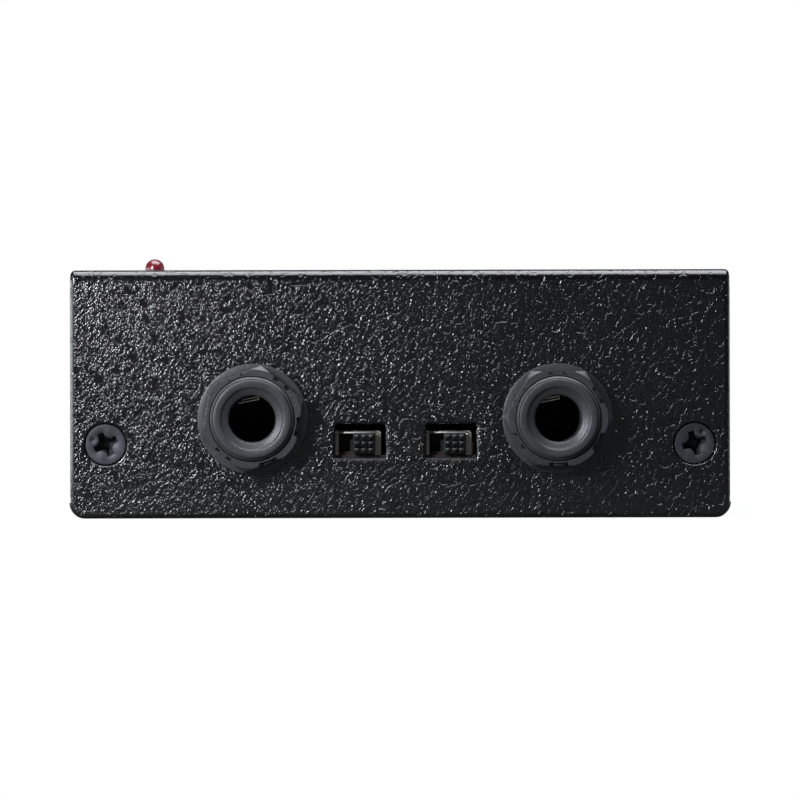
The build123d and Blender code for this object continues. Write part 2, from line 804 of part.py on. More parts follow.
def board_screw():
    """Pan head screw with a rounded rim."""
    head = disc(board_screw_head_r, board_top, board_top + board_screw_head)
    head = chamfer(head.edges().group_by(Axis.Z)[-1], board_screw_head / 2)
    return head + disc(screw_r, board_bottom - board_screw_reach, board_top)


def jack_notch(side, x):
    """Room in the board for a jack's body and lugs."""
    depth = jack_rear + notch_gap
    return on_face(side, x, board_top) * (
        block(jack_body_width + 2 * notch_gap, 6 * board_thickness, -depth, 0)
    )


def main_board():
    """Circuit board with a tongue to each face and notches round the panel jacks."""
    plate = Pos(0, 0, board_bottom) * Box(board_width, board_depth, board_thickness, align=OUT)
    reach = inside_face - board_edge_gap
    input_tongue = Pos(0, -reach, board_bottom) * Box(
        input_jack_x["right"] - input_jack_x["left"], reach, board_thickness,
        align=(Align.CENTER, Align.MIN, Align.MIN),
    )
    tongue_low = -inlet_x - inlet_width / 2 - tongue_margin
    control_tongue = Pos(tongue_low, 0, board_bottom) * Box(
        -headphone_x - tongue_low, reach, board_thickness,
        align=(Align.MIN, Align.MIN, Align.MIN),
    )
    board = plate + input_tongue + control_tongue
    board -= [jack_notch(-1, x) for x in input_jack_x.values()]
    board -= jack_notch(1, headphone_x)
    board -= [place * disc(screw_hole_r, 0, 2 * board_top) for place in standoff_places(0)]
    board -= [place * disc(led_lead_hole_r, 0, 2 * board_top) for place in led_lead_places()]
    middle = -shield_front - shield_depth / 2
    for x in switch_x.values():
        for step in (-1, 0, 1):
            spot = Pos(step * switch_pitch, 0, middle)
            board -= on_face(-1, x, board_top) * spot * terminal_hole()
    return board


# ------------------------------------------------------------------ electronics
def on_board(x, behind):
    """Frame on the board's upper face, at a distance behind the control face's inside."""
    return Pos(x, inside_face - behind, board_top)


def chip():
    """Moulded chip package with a half-round index notch at one end."""
    low = chip_seat
    body = Pos(0, 0, low) * Box(chip_length, chip_width, chip_height, align=OUT)
    body = chamfer(body.edges().filter_by(Axis.X), chip_edge)
    index = Pos(-chip_length / 2, 0, low + chip_height) * Cylinder(chip_index_r, 2 * chip_index_depth)
    return body - index


def chip_pin():
    """Bent pin beside a chip, standing on the board."""
    side = chip_width / 2
    height = chip_seat + chip_height / 2
    points = [(side, height), (side + chip_pin_reach, height), (side + chip_pin_reach, 0)]
    pin = bent_sheet(points, chip_pin_bend, chip_pin_thickness, chip_pin_width, Side.RIGHT)
    return Plane.YZ * pin


def chip_pin_rows():
    """Both rows of pins of one chip."""
    start = -(chip_pins - 1) * chip_pin_pitch / 2
    row = [Pos(start + step * chip_pin_pitch, 0, 0) * chip_pin() for step in range(chip_pins)]
    return row + [Rot(0, 0, 180) * pin for pin in row]


def can_capacitor():
    """Aluminium can with a rolled groove near its foot and a turned-in shoulder."""
    outline = make_face(Polyline(
        (0, 0), (can_r, 0), (can_r, can_bead_height - can_bead), (can_r - can_bead, can_bead_height),
        (can_r, can_bead_height + can_bead), (can_r, can_height - can_edge),
        (can_r - can_edge, can_height), (0, can_height), close=True,
    ))
    return revolve(Plane.XZ * outline, Axis.Z)


def film_capacitor():
    """Box film capacitor with bevelled upper edges."""
    box = Box(film_length, film_width, film_height, align=OUT)
    return chamfer(box.edges().group_by(Axis.Z)[-1], film_edge)


def resistor():
    """Axial resistor: a bevelled barrel on two leads bent down to the board."""
    barrel = Rot(0, 90, 0) * Cylinder(resistor_r, resistor_length)
    barrel = chamfer(barrel.edges(), resistor_edge)
    half = resistor_span / 2
    points = [(-half, 0), (-half, resistor_lift), (half, resistor_lift), (half, 0)]
    lead = bent_sheet(points, resistor_lead_bend, resistor_lead, resistor_lead, Side.RIGHT)
    return Plane.XZ * lead + Pos(0, 0, resistor_lift - resistor_lead / 2) * barrel


def regulator():
    """Upright voltage regulator with its drilled tab and three legs."""
    low = regulator_leg
    thick = regulator_thick
    body = Pos(0, 0, low) * Box(regulator_width, thick, regulator_height, align=OUT)
    tab_height = regulator_height + regulator_tab_rise
    tab = Pos(0, thick / 2 - regulator_tab / 2, low) * Box(
        regulator_width, regulator_tab, tab_height, align=OUT
    )
    hole_z = low + tab_height - regulator_tab_rise / 2
    hole = Pos(0, thick / 2, hole_z) * Rot(90, 0, 0) * Cylinder(regulator_hole_r, 4 * regulator_tab)
    leg = Box(regulator_leg_width, regulator_leg_thickness, low + regulator_leg_hold, align=OUT)
    legs = [Pos(step * chip_pin_pitch, 0, 0) * leg for step in (-1, 0, 1)]
    return body + tab - hole + legs


# ------------------------------------------------------------------ assembly
def case_nodes():
    """Shells and their fasteners."""
    turns = [-64.0, 17.0, 38.0, 71.0]
    places = screw_places()
    return {
        "top_cover": top_cover(),
        "base_tray": base_tray(),
        "cover_screws": group(place * cover_screw(turn) for place, turn in zip(places, turns)),
        "flange_press_nuts": group(place * press_nut() for place in places),
    }


def board_nodes():
    """Board, supports, lamp and electronics."""
    chips = [on_board(x, chip_behind) for x in chip_x]
    pins = [place * pin for place in chips for pin in chip_pin_rows()]
    films = [on_board(x, y) * film_capacitor() for x in film_x for y in film_behind]
    resistors = [on_board(x, y) * resistor() for x in resistor_x for y in resistor_behind]
    cans = [on_board(x, can_row_behind) * can_capacitor() for x in can_row_x]
    cans.append(Pos(board_width / 2 - can_side_inset, 0, board_top) * can_capacitor())
    return {
        "main_board": main_board(),
        "board_standoffs": group(place * standoff() for place in standoff_places(0)),
        "board_screws": group(place * board_screw() for place in standoff_places(0)),
        "led_lens": led_lens(),
        "led_leads": led_leads(),
        "led_spacer": led_spacer(),
        "amplifier_chips": group(place * chip() for place in chips),
        "chip_pins": group(pins),
        "electrolytic_capacitors": group(cans),
        "film_capacitors": group(films),
        "resistors": group(resistors),
        "voltage_regulator": on_board(regulator_x, regulator_behind) * regulator(),
    }


def jack_nodes(name, place, turn):
    """One 6.35 mm jack: body, nut and three contact leaves."""
    return {
        name + "_body": place * jack_body(),
        name + "_nut": place * jack_nut(turn),
        name + "_tip_contact": place * jack_leaf(tip_leaf),
        name + "_ring_contact": place * jack_leaf(ring_leaf),
        name + "_sleeve_contact": place * jack_leaf(sleeve_leaf),
    }


def switch_nodes(name, place):
    """One slide switch behind its window."""
    return {
        name + "_shield": place * switch_shield(),
        name + "_terminal_board": place * switch_terminal_board(),
        name + "_terminals": place * switch_terminals(),
        name + "_slider": place * switch_slider(),
        name + "_bridge": place * switch_bridge(),
    }


def level_nodes(name, place):
    """One level control: potentiometer, its fixings, shaft and knob."""
    return {
        name + "_body": place * pot_body(),
        name + "_washer": place * pot_washer(),
        name + "_nut": place * pot_nut(),
        name + "_shaft": place * pot_shaft(),
        name + "_knob": place * knob(),
    }


def control_nodes():
    """What the control face carries besides the level controls."""
    mini = on_face(1, mini_x, mini_z)
    inlet = on_face(1, inlet_x, inlet_z)
    return {
        "mini_jack_body": mini * mini_body(),
        "mini_jack_nut": mini * mini_nut(),
        "mini_jack_contacts": mini * mini_contacts(),
        "dc_inlet_body": inlet * inlet_body(),
        "dc_inlet_pin": inlet * inlet_pin(),
        "dc_inlet_contact": inlet * inlet_contact(),
    }


def all_nodes():
    """Every node of the amplifier by name."""
    nodes = {**case_nodes(), **board_nodes()}
    for hand, x in input_jack_x.items():
        nodes.update(jack_nodes("input_" + hand, on_face(-1, x, jack_z), nut_turn[hand]))
    headphone = on_face(1, headphone_x, jack_z)
    nodes.update(jack_nodes("headphone_jack", headphone, nut_turn["headphone"]))
    for hand, x in switch_x.items():
        nodes.update(switch_nodes("switch_" + hand, on_face(-1, x, board_top)))
    for hand, x in level_x.items():
        nodes.update(level_nodes("level_" + hand, on_face(1, x, level_z)))
    nodes.update(control_nodes())
    return nodes


os.makedirs("parts", exist_ok=True)
for node, shape in all_nodes().items():
    export_step(shape, os.path.join("parts", node + ".step"))
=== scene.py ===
import math

import bmesh
import bpy
from mathutils import Matrix, Vector


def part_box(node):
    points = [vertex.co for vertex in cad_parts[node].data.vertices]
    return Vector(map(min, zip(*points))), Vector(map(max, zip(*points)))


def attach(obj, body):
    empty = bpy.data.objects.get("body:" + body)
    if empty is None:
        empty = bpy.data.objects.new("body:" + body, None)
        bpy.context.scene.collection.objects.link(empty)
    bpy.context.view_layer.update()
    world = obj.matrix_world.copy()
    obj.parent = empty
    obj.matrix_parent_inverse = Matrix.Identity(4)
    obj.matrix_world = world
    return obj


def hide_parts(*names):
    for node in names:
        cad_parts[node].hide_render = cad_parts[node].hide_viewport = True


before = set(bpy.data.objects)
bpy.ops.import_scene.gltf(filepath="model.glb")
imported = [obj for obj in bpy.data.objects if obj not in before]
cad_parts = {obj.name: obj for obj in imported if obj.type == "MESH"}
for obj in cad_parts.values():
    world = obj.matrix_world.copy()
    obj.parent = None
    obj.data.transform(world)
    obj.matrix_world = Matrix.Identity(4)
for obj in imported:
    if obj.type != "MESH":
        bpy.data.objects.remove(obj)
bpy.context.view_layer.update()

# A small headphone amplifier in a folded steel case, finished piece by piece.
# Meshes are drawn in millimetres in the frame of the face they sit on (x to the right as
# seen from outside, y up, z out of the face) and brought to metres when they are placed.

MM = 0.001
TURN = 2 * math.pi
HANDS = ("left", "right")
INPUT_FACE, CONTROL_FACE = -1, 1         # the side of each face along Y

# ------------------------------------------------------------------ case sizes, mm
cover_half, half_depth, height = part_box("top_cover")[1] / MM
sheet = 1.2
cover_bend = 1.5
face_corner = 2.0
paint_edge = 0.35            # rounding of painted edges
side_edge = 0.7              # rounding of the cover's two long side edges
inner_edge = 0.15            # rounding on the inside of the case
face_run = height - cover_bend           # flat sheet from a face's foot to its fold
fold_run = cover_bend * TURN / 4         # sheet that each fold takes up, outside
blank_run = 2 * face_run + 2 * fold_run + 2 * (half_depth - cover_bend)
fold_steps = 8

# ------------------------------------------------------------------ openings in the cover
jack_hole_r = 6.1
window_width = 7.05
window_height = 4.75
window_low = 8.5
window_top = window_low + window_height
window_offset = 0.5          # of a window's middle from its switch's middle
window_corner = 0.3
window_edge = 0.5
countersink_r = 3.02
countersink_foot_r = 2.3
countersink_edge = 0.25
countersink_wall = 0.4
pot_hole_r = 3.55
mini_hole_r = 3.05
inlet_hole_r = 4.1
led_hole_r = 1.6
led_hole_edge = 0.2


# ================================================================== shaders
class Value:
    """A number or colour that varies over a surface. Sums on numbers add Math nodes."""

    def __init__(self, shading, socket):
        self.shading = shading
        self.socket = socket

    def _math(self, operation, first, second):
        return self.shading.node(
            "ShaderNodeMath", {"operation": operation}, {0: first, 1: second}
        )

    def __add__(self, other):
        return self._math("ADD", self, other)

    __radd__ = __add__

    def __sub__(self, other):
        return self._math("SUBTRACT", self, other)

    def __rsub__(self, other):
        return self._math("SUBTRACT", other, self)

    def __mul__(self, other):
        return self._math("MULTIPLY", self, other)

    __rmul__ = __mul__

    def ramp(self, low, high, start=0.0, end=1.0):
        """Smooth step from start to end as the value goes from low to high."""
        return self.shading.node(
            "ShaderNodeMapRange",
            {"interpolation_type": "SMOOTHSTEP"},
            {"Value": self, "From Min": low, "From Max": high, "To Min": start, "To Max": end},
        )

    def between(self, rise, full, fade, gone):
        """Rises from 0 to 1 at one end of a stretch and falls back at the other."""
        return self.ramp(rise, full) * self.ramp(fade, gone, 1.0, 0.0)

    def beyond(self, start, full):
        """1 past a distance from the middle plane, on both of its sides."""
        return (self * self).ramp(start ** 2, full ** 2)


class Shading:
    """A node tree that grows by one node at a time."""

    def __init__(self, tree):
        self.tree = tree

    def node(self, kind, settings=None, sockets=None, output=0):
        """Adds one node: its settings first, then its sockets; gives one output."""
        made = self.tree.nodes.new(kind)
        for name, value in (settings or {}).items():
            setattr(made, name, value)
        for name, value in (sockets or {}).items():
            self.join(made.inputs[name], value)
        return Value(self, made.outputs[output])

    def join(self, socket, value):
        """Gives a socket a link or a constant."""
        if isinstance(value, Value):
            self.tree.links.new(value.socket, socket)
        else:
            socket.default_value = value

    def rays(self, kind):
        """1 for rays of one kind: Camera, Glossy or Transmission."""
        return self.node("ShaderNodeLightPath", output=f"Is {kind} Ray")


class Finish(Shading):
    """A material built node by node on one Principled shader."""

    def __init__(self, name, **constants):
        self.material = bpy.data.materials.new(name)
        self.material.use_nodes = True
        super().__init__(self.material.node_tree)
        self.shader = self.tree.nodes["Principled BSDF"]
        self.place = self.node("ShaderNodeTexCoord", output="Object")
        for socket, value in constants.items():
            self.set(socket.replace("_", " "), value)

    def set(self, socket, value):
        """Gives one socket of the shader a constant or a link."""
        self.join(self.shader.inputs[socket], value)

    def noise(self, grain, detail=2.0, roughness=0.5, place=None):
        """Noise whose grain is about this many millimetres."""
        return self.node("ShaderNodeTexNoise", sockets={
            "Vector": place or self.place, "Scale": 1 / (grain * MM), "Detail": detail,
            "Roughness": roughness,
        })

    def cells(self, grain, place):
        """Distance to the nearest cell centre, cells about this many millimetres apart."""
        return self.node("ShaderNodeTexVoronoi", sockets={
            "Vector": place, "Scale": 1 / (grain * MM),
        }, output="Distance")

    def waves(self, direction, scale, distortion=0.0):
        """Soft parallel bands across one direction."""
        return self.node("ShaderNodeTexWave", {"bands_direction": direction}, {
            "Vector": self.place, "Scale": scale, "Distortion": distortion,
        }, "Fac")

    def blend(self, factor, first, second):
        """Colour mixed from two."""
        return self.node(
            "ShaderNodeMix", {"data_type": "RGBA"}, {0: factor, 6: first, 7: second}, 2
        )

    def along(self, axis):
        """One coordinate, in millimetres."""
        return self.node("ShaderNodeSeparateXYZ", {}, {0: self.place}, axis) * (1 / MM)

    def bump(self, rise):
        """Raises the surface by a value in millimetres."""
        self.set("Normal", self.node("ShaderNodeBump", {}, {"Height": rise, "Distance": MM}))


def any_of(first, *others):
    """Mask that covers what any of the masks covers."""
    clear = 1 - first
    for mask in others:
        clear = clear * (1 - mask)
    return 1 - clear


def rgb(red, green, blue):
    """Colour from screen values of 0 to 255."""
    def linear(step):
        share = step / 255
        return share / 12.92 if share <= 0.04045 else ((share + 0.055) / 1.055) ** 2.4
    return (linear(red), linear(green), linear(blue), 1.0)


def darker(colour, share):
    """The same colour with a share of its light."""
    return tuple(share * part for part in colour[:3]) + (1.0,)


def hammer_paint():
    """Black structure powder coat: dense glossy grains broken by smooth shallow craters.

    It is pulled thin over the two folds and worn along the cover's side edges. The grains' tops
    are painted lighter and the hollows between them darker, as painted highlight and shade. Each
    switch window has a smoother cheek on its right with painted highlights of glints in its
    colour, and a dull lip below it.
    """
    coat = Finish("structure_powder_black", Coat_Roughness=0.11)
    sideways, across, up = (coat.along(axis) for axis in "XYZ")
    slant = coat.node("ShaderNodeMapping", {"vector_type": "TEXTURE"}, {
        "Vector": coat.place, "Rotation": (0.0, math.radians(30), 0.0), "Scale": (0.9, 1.0, 1.7),
    })
    wide = coat.noise(1.35, 1.0, 0.4).ramp(0.60, 0.67)
    small = coat.noise(0.8, 1.0, 0.4, slant).ramp(0.61, 0.69)
    crater = any_of(wide, small)
    pulled_thin = (up.ramp(height - 1.7, height - 1.2)
                   * across.beyond(half_depth - 2.2, half_depth - 1.2))
    worn_side = sideways.beyond(cover_half - 0.8, cover_half - 0.4)
    front = across.ramp(-1.0, 1.0, 1.0, 0.0)
    cheek = lip = 0.0
    for hand in HANDS:
        low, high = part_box(f"switch_{hand}_shield")
        middle = (low + high).x / 2 / MM + window_offset
        left, right = middle - window_width / 2, middle + window_width / 2
        cheek += (sideways.between(right - 0.1, right + 0.05, right + 0.4, right + 0.6)
                  * up.between(window_low, window_low + 0.3, window_top - 0.2, window_top))
        lip += (up.between(window_low - 0.6, window_low - 0.45, window_low, window_low + 0.1)
                * sideways.between(left - 0.3, left, right, right + 0.3))
    cheek, lip = cheek * front, lip * front
    flat = any_of(crater, pulled_thin * 0.82, worn_side * 0.5, cheek * 0.45)
    grain = 1 - coat.cells(0.23, slant) * 1.5
    lumps = coat.noise(0.6, 1.0, 0.5, slant)
    fine = coat.noise(0.2, 1.0, 0.5)
    coat.bump((grain * 0.045 + lumps * 0.12) * (1 - flat * 0.92) - crater * 0.05)
    # Painted highlight and shade: the grains' tops are painted lighter and the hollows between
    # them darker.
    painted_grain_shade = coat.blend(grain, rgb(3, 3, 6), rgb(17, 17, 23))
    black = coat.blend(crater, painted_grain_shade, rgb(8, 9, 15))
    # Painted highlight: light grey glints painted into the colour of each window's right cheek.
    painted_glints = cheek * grain.ramp(0.35, 0.85) * 0.7
    coat.set("Base Color", coat.blend(painted_glints, black, rgb(150, 150, 156)))
    coat.set("Roughness", 0.17 + fine * 0.06 + lip * 0.3)
    coat.set("Coat Weight", (1 - crater * 0.3) * (1 - pulled_thin * 0.6) * (1 - lip * 0.9))
    return coat.material


def satin_plastic(name, colour, roughness, grain=0.25, rise=0.006):
    """Moulded plastic with a fine spark-eroded skin."""
    skin = Finish(name)
    fine = skin.noise(grain, 3.0, 0.6)
    tone = skin.noise(3.0)
    speck = skin.noise(0.22, 1.0, 0.6)
    uneven = tone.ramp(0.3, 0.7) * 0.4 + speck.ramp(0.4, 0.6) * 0.6
    skin.set("Base Color", skin.blend(uneven, colour, darker(colour, 0.55)))
    skin.set("Roughness", tone * 0.10 + speck * 0.16 + (roughness - 0.13))
    skin.bump(fine * rise)
    return skin.material


def plated(name, colour, roughness):
    """Plated metal, slightly uneven, with light handling marks."""
    metal = Finish(name, Metallic=1.0)
    cloud = metal.noise(1.8, 3.0, 0.6)
    fine = metal.noise(0.12, 2.0, 0.6)
    metal.set("Base Color", metal.blend(cloud.ramp(0.4, 0.7), colour, darker(colour, 0.66)))
    metal.set("Roughness", cloud * 0.16 + fine * 0.05 + (roughness - 0.06))
    metal.bump(fine * 0.003 + metal.noise(1.1, 1.0) * 0.004)
    return metal.material


def screw_black():
    """Blackened steel, oily and worn to a dull grey on top."""
    steel = Finish("blackened_steel")
    cloud = steel.noise(0.9, 4.0, 0.65)
    fine = steel.noise(0.14, 2.0, 0.6)
    steel.set("Base Color", steel.blend(cloud.ramp(0.35, 0.7), rgb(70, 70, 76), rgb(58, 58, 63)))
    steel.set("Metallic", 0.25 + cloud * 0.2)
    steel.set("Roughness", 0.42 + cloud * 0.16)
    steel.bump((fine + cloud) * 0.01)
    return steel.material


def board_laminate():
    """Circuit board: green mask over its glass weave, brown cut edges."""
    board = Finish("board_laminate", Coat_Roughness=0.2)
    normal = board.node("ShaderNodeNewGeometry", output="Normal")
    facing = board.node("ShaderNodeSeparateXYZ", {}, {0: normal}, "Z")
    face = (facing * facing).ramp(0.3, 0.7)
    weave = board.waves("DIAGONAL", 1 / (1.6 * MM), 0.6)
    mask = board.blend(weave, rgb(28, 62, 42), rgb(34, 74, 50))
    fibres = board.noise(0.3, 3.0, 0.6)
    edge = board.blend(fibres, rgb(34, 19, 19), rgb(54, 30, 27))
    board.set("Base Color", board.blend(face, edge, mask))
    board.set("Roughness", 0.62 - face * 0.27)
    board.set("Coat Weight", face * 0.4)
    board.bump(weave * 0.008 + fibres * 0.01)
    return board.material


def lamp_red():
    """Diffused dark red epoxy of an unlit lamp."""
    epoxy = Finish("lamp_epoxy_red", Transmission_Weight=0.35, IOR=1.5, Coat_Weight=0.6,
                   Coat_Roughness=0.16)
    depth = epoxy.noise(0.9)
    epoxy.set("Base Color", epoxy.blend(depth, rgb(136, 34, 46), rgb(112, 24, 36)))
    epoxy.set("Roughness", 0.22 + depth * 0.1)
    return epoxy.material


def resistor_paint():
    """Pale blue lacquer with colour rings round the barrel, repeated by its place."""
    ring_pitch = 1.4
    wave_length = 0.314                  # of a wave at scale 1
    enamel = Finish("resistor_lacquer", Coat_Weight=0.5)
    ring = enamel.waves("X", wave_length / (ring_pitch * MM))
    hue = enamel.noise(1.6, 0.0)
    rings = enamel.blend(hue.ramp(0.4, 0.6), rgb(96, 44, 30), rgb(34, 30, 30))
    enamel.set("Base Color", enamel.blend(ring.ramp(0.80, 0.88), rgb(112, 160, 190), rings))
    enamel.set("Roughness", 0.3 + hue * 0.1)
    enamel.bump(enamel.noise(0.5) * 0.02)
    return enamel.material


def can_metal():
    """Capacitor can: dark sleeve up to its shoulder, bare aluminium on the lid."""
    shoulder = 20.1                      # height above the case's foot
    can = Finish("capacitor_can", Coat_Roughness=0.2)
    lid = can.along("Z").ramp(shoulder - 0.05, shoulder + 0.05)
    grain = can.noise(0.35, 3.0, 0.6)
    sleeve = can.blend(grain, rgb(26, 30, 44), rgb(32, 38, 56))
    bare = can.blend(grain, rgb(186, 188, 190), rgb(214, 216, 218))
    can.set("Base Color", can.blend(lid, sleeve, bare))
    can.set("Metallic", lid)
    can.set("Roughness", 0.34 + grain * 0.12)
    can.bump(grain * 0.006)
    return can.material


def switch_shell():
    """Nickelled switch shell: dull plate, a painted highlight along the lip at its top, and
    painted shade over everything behind its front plate.
    """
    shell = Finish("switch_shell", Metallic=1.0)
    low, high = (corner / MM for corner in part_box("switch_left_shield"))
    # Painted highlight: the lip along the top is coloured near white.
    lip = shell.along("Z").ramp(high.z - 0.42, high.z - 0.36)
    # Painted shade: everything behind the front plate is coloured dark.
    inside = shell.along("Y").ramp(low.y + 0.27, low.y + 0.4)
    cloud = shell.noise(0.5, 3.0, 0.6)
    plate = shell.blend(cloud, rgb(152, 146, 134), rgb(186, 179, 166))
    front = shell.blend(lip, plate, rgb(244, 242, 234))
    shell.set("Base Color", shell.blend(inside * (1 - lip), front, rgb(46, 44, 43)))
    shell.set("Roughness", 0.34 + cloud * 0.12 + lip * 0.12)
    shell.bump(shell.noise(0.15, 2.0, 0.6) * 0.012)
    return shell.material


paint = hammer_paint()
plastic_black = satin_plastic("jack_moulding_black", rgb(67, 67, 71), 0.40, 0.26, 0.045)
plastic_slider = satin_plastic("slider_moulding_black", rgb(34, 34, 37), 0.36)
plastic_knob = satin_plastic("knob_moulding_black", rgb(34, 34, 36), 0.44)
plastic_white = satin_plastic("nylon_white", rgb(214, 212, 204), 0.5)
pointer_white = satin_plastic("pointer_white", rgb(226, 226, 222), 0.5)
chip_epoxy = satin_plastic("chip_epoxy", rgb(40, 40, 42), 0.6, 0.15, 0.012)
film_red = satin_plastic("film_box_red", rgb(132, 38, 34), 0.4)
phenolic = satin_plastic("phenolic_brown", rgb(50, 30, 26), 0.5)
nickel = plated("nickel_plate", rgb(196, 188, 172), 0.22)
# Near-white metal for the contact rim: a painted highlight of the leaf's edge seen through each
# bore.
contact_highlight_metal = plated("contact_highlight_metal", rgb(250, 240, 214), 0.14)
shell_metal = switch_shell()
spring = plated("spring_bronze", rgb(232, 214, 176), 0.2)
zinc = plated("zinc_plate", rgb(178, 182, 186), 0.3)
tinned = plated("tinned_copper", rgb(202, 202, 200), 0.28)
black_steel = screw_black()
laminate = board_laminate()
red_epoxy = lamp_red()
lacquer = resistor_paint()
can_skin = can_metal()


# ================================================================== places
def centre_of(node):
    """World x, y, z of a node's middle, in millimetres."""
    low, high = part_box(node)
    return (low + high) / 2 / MM


def face_frame(side, x, z):
    """Frame of one face at a world x and z in millimetres, from drawing to metres."""
    return Matrix((
        (-side * MM, 0, 0, x * MM),
        (0, 0, side * MM, side * half_depth * MM),
        (0, MM, 0, z * MM),
        (0, 0, 0, 1),
    ))


def seat_of(node, side):
    """Frame of a face centred on a node."""
    middle = centre_of(node)
    return face_frame(side, middle.x, middle.z)


# ================================================================== outlines
def polar(radius, angle):
    """Point at a radius and an angle."""
    return radius * math.cos(angle), radius * math.sin(angle)


def quarter(steps):
    """Angles from 0 to a quarter turn."""
    return [TURN / 4 * k / steps for k in range(steps + 1)]


def circle(radius, steps, x=0.0, y=0.0):
    """Points round a circle, anticlockwise."""
    ring = [polar(radius, TURN * k / steps) for k in range(steps)]
    return [(x + across, y + up) for across, up in ring]


def rounded_rect(width, tall, radius, x=0.0, y=0.0, steps=6):
    """Points round a rectangle with rounded corners, anticlockwise."""
    points = []
    for corner, (sx, sy) in enumerate(((1, 1), (-1, 1), (-1, -1), (1, -1))):
        for k in range(steps + 1):
            angle = (corner + k / steps) * TURN / 4
            points.append((
                x + sx * (width / 2 - radius) + radius * math.cos(angle),
                y + sy * (tall / 2 - radius) + radius * math.sin(angle),
            ))
    return points


def d_outline(radius, flat, steps=40):
    """Outline of a shaft or bore with one flat at a distance from its middle."""
    start = math.asin(flat / radius)
    sweep = TURN / 2 + 2 * start
    return [polar(radius, start - sweep * k / steps) for k in range(steps, -1, -1)]


def moved_out(points, distance):
    """The closed outline moved to its right-hand side by a distance."""
    count = len(points)
    moved = []
    for k in range(count):
        before, here, after = (Vector(points[(k + step) % count]) for step in (-1, 0, 1))
        first, second = (here - before).normalized(), (after - here).normalized()
        right = Vector((first.y, -first.x)) + Vector((second.y, -second.x))
        scale = distance / max(0.25, 1 + first.dot(second))
        moved.append(tuple(here + right * scale))
    return moved


def rim(edge, depth, back_edge=0.0, steps=4):
    """Rows of (out, depth): a rounded front edge, a straight wall and a rounded back edge."""
    rows = [(edge * (math.sin(a) - 1), edge * (1 - math.cos(a))) for a in quarter(steps)]
    if not back_edge:
        return rows + [(0.0, depth)]
    return rows + [
        (back_edge * (math.cos(a) - 1), depth - back_edge * (1 - math.sin(a)))
        for a in quarter(steps)
    ]


# ================================================================== mesh tools
weld_gap = 0.0008            # points nearer than this, in millimetres, become one
eased_angle = 38.0           # edges that turn by more than this, in degrees, are eased


def fill(mesh, rings):
    """Flat face between closed rings of vertices."""
    edges = []
    for ring in rings:
        for first, second in zip(ring, ring[1:] + ring[:1]):
            edges.append(mesh.edges.get((first, second)) or mesh.edges.new((first, second)))
    bmesh.ops.triangle_fill(mesh, use_beauty=True, use_dissolve=False, edges=edges)


def skin_rows(mesh, rows):
    """Quads between rings of vertices, each ring closed."""
    for upper, lower in zip(rows, rows[1:]):
        count = max(len(upper), len(lower))
        for k in range(count):
            after = (k + 1) % count
            if len(lower) == 1:
                mesh.faces.new((upper[k], upper[after], lower[0]))
            elif len(upper) == 1:
                mesh.faces.new((upper[0], lower[after], lower[k]))
            else:
                mesh.faces.new((upper[k], upper[after], lower[after], lower[k]))


def pressed(mesh, outer, holes=(), cuts=(), level=0.0):
    """Solid with a flat top: outer and through holes share the floor, cuts have their own.

    Each is (points, rows): points anticlockwise, rows of (out, depth) from the top down,
    out measured away from the material. A third number in a row draws its points together.
    """
    tops, floors = [], []
    for kind, parts in (("outer", [outer]), ("hole", holes), ("cut", cuts)):
        for points, rows in parts:
            sign = 1 if kind == "outer" else -1
            rings = []
            for out, depth, *drawn in rows:
                share = drawn[0] if drawn else 1.0
                rings.append([mesh.verts.new((x * share, y * share, level - depth))
                              for x, y in moved_out(points, sign * out)])
            skin_rows(mesh, rings)
            tops.append(rings[0])
            if kind == "cut":
                fill(mesh, [rings[-1]])
            else:
                floors.append(rings[-1])
    fill(mesh, tops)
    fill(mesh, floors)


def turned(mesh, profile, steps, shape=None):
    """Turned solid from (radius, z) points; shape may change a radius at its angle and z."""
    rings = []
    for radius, z in profile:
        if radius < 1e-6:
            rings.append([mesh.verts.new((0, 0, z))])
            continue
        ring = []
        for k in range(steps):
            angle = TURN * k / steps
            r = shape(angle, radius, z) if shape else radius
            ring.append(mesh.verts.new((*polar(r, angle), z)))
        rings.append(ring)
    skin_rows(mesh, rings)
    return rings


def box_block(mesh, low, high):
    """Plain block between two corners, for what lies inside the case."""
    for vert in bmesh.ops.create_cube(mesh, size=1.0)["verts"]:
        vert.co = Vector(
            low[axis] + (vert.co[axis] + 0.5) * (high[axis] - low[axis]) for axis in range(3)
        )


def cut_at_plane(mesh, point, normal, **options):
    """Cuts every face at a plane and gives the edges of the cut."""
    cut = bmesh.ops.bisect_plane(
        mesh, geom=mesh.verts[:] + mesh.edges[:] + mesh.faces[:],
        plane_co=point, plane_no=normal, **options,
    )
    return [part for part in cut["geom_cut"] if isinstance(part, bmesh.types.BMEdge)]


def piece(name, mesh, place, body, finish, stands_for=(), sharp=32.0):
    """Turns a mesh in millimetres into a placed piece that rides on its body.

    Edges that turn by more than the sharp angle, in degrees, stay crisp.
    """
    bmesh.ops.remove_doubles(mesh, verts=mesh.verts, dist=weld_gap)
    bmesh.ops.recalc_face_normals(mesh, faces=mesh.faces)
    mesh.transform(place)
    if place.determinant() < 0:
        bmesh.ops.reverse_faces(mesh, faces=mesh.faces)
    for face in mesh.faces:
        face.smooth = True
    for edge in mesh.edges:
        if edge.is_manifold:
            edge.smooth = edge.calc_face_angle(0.0) < math.radians(sharp)
    data = bpy.data.meshes.new(name)
    mesh.to_mesh(data)
    mesh.free()
    made = bpy.data.objects.new(name, data)
    bpy.context.scene.collection.objects.link(made)
    data.materials.append(finish)
    weighted = made.modifiers.new("weighted", "WEIGHTED_NORMAL")
    weighted.keep_sharp = True
    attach(made, body)
    if stands_for:
        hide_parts(*stands_for)


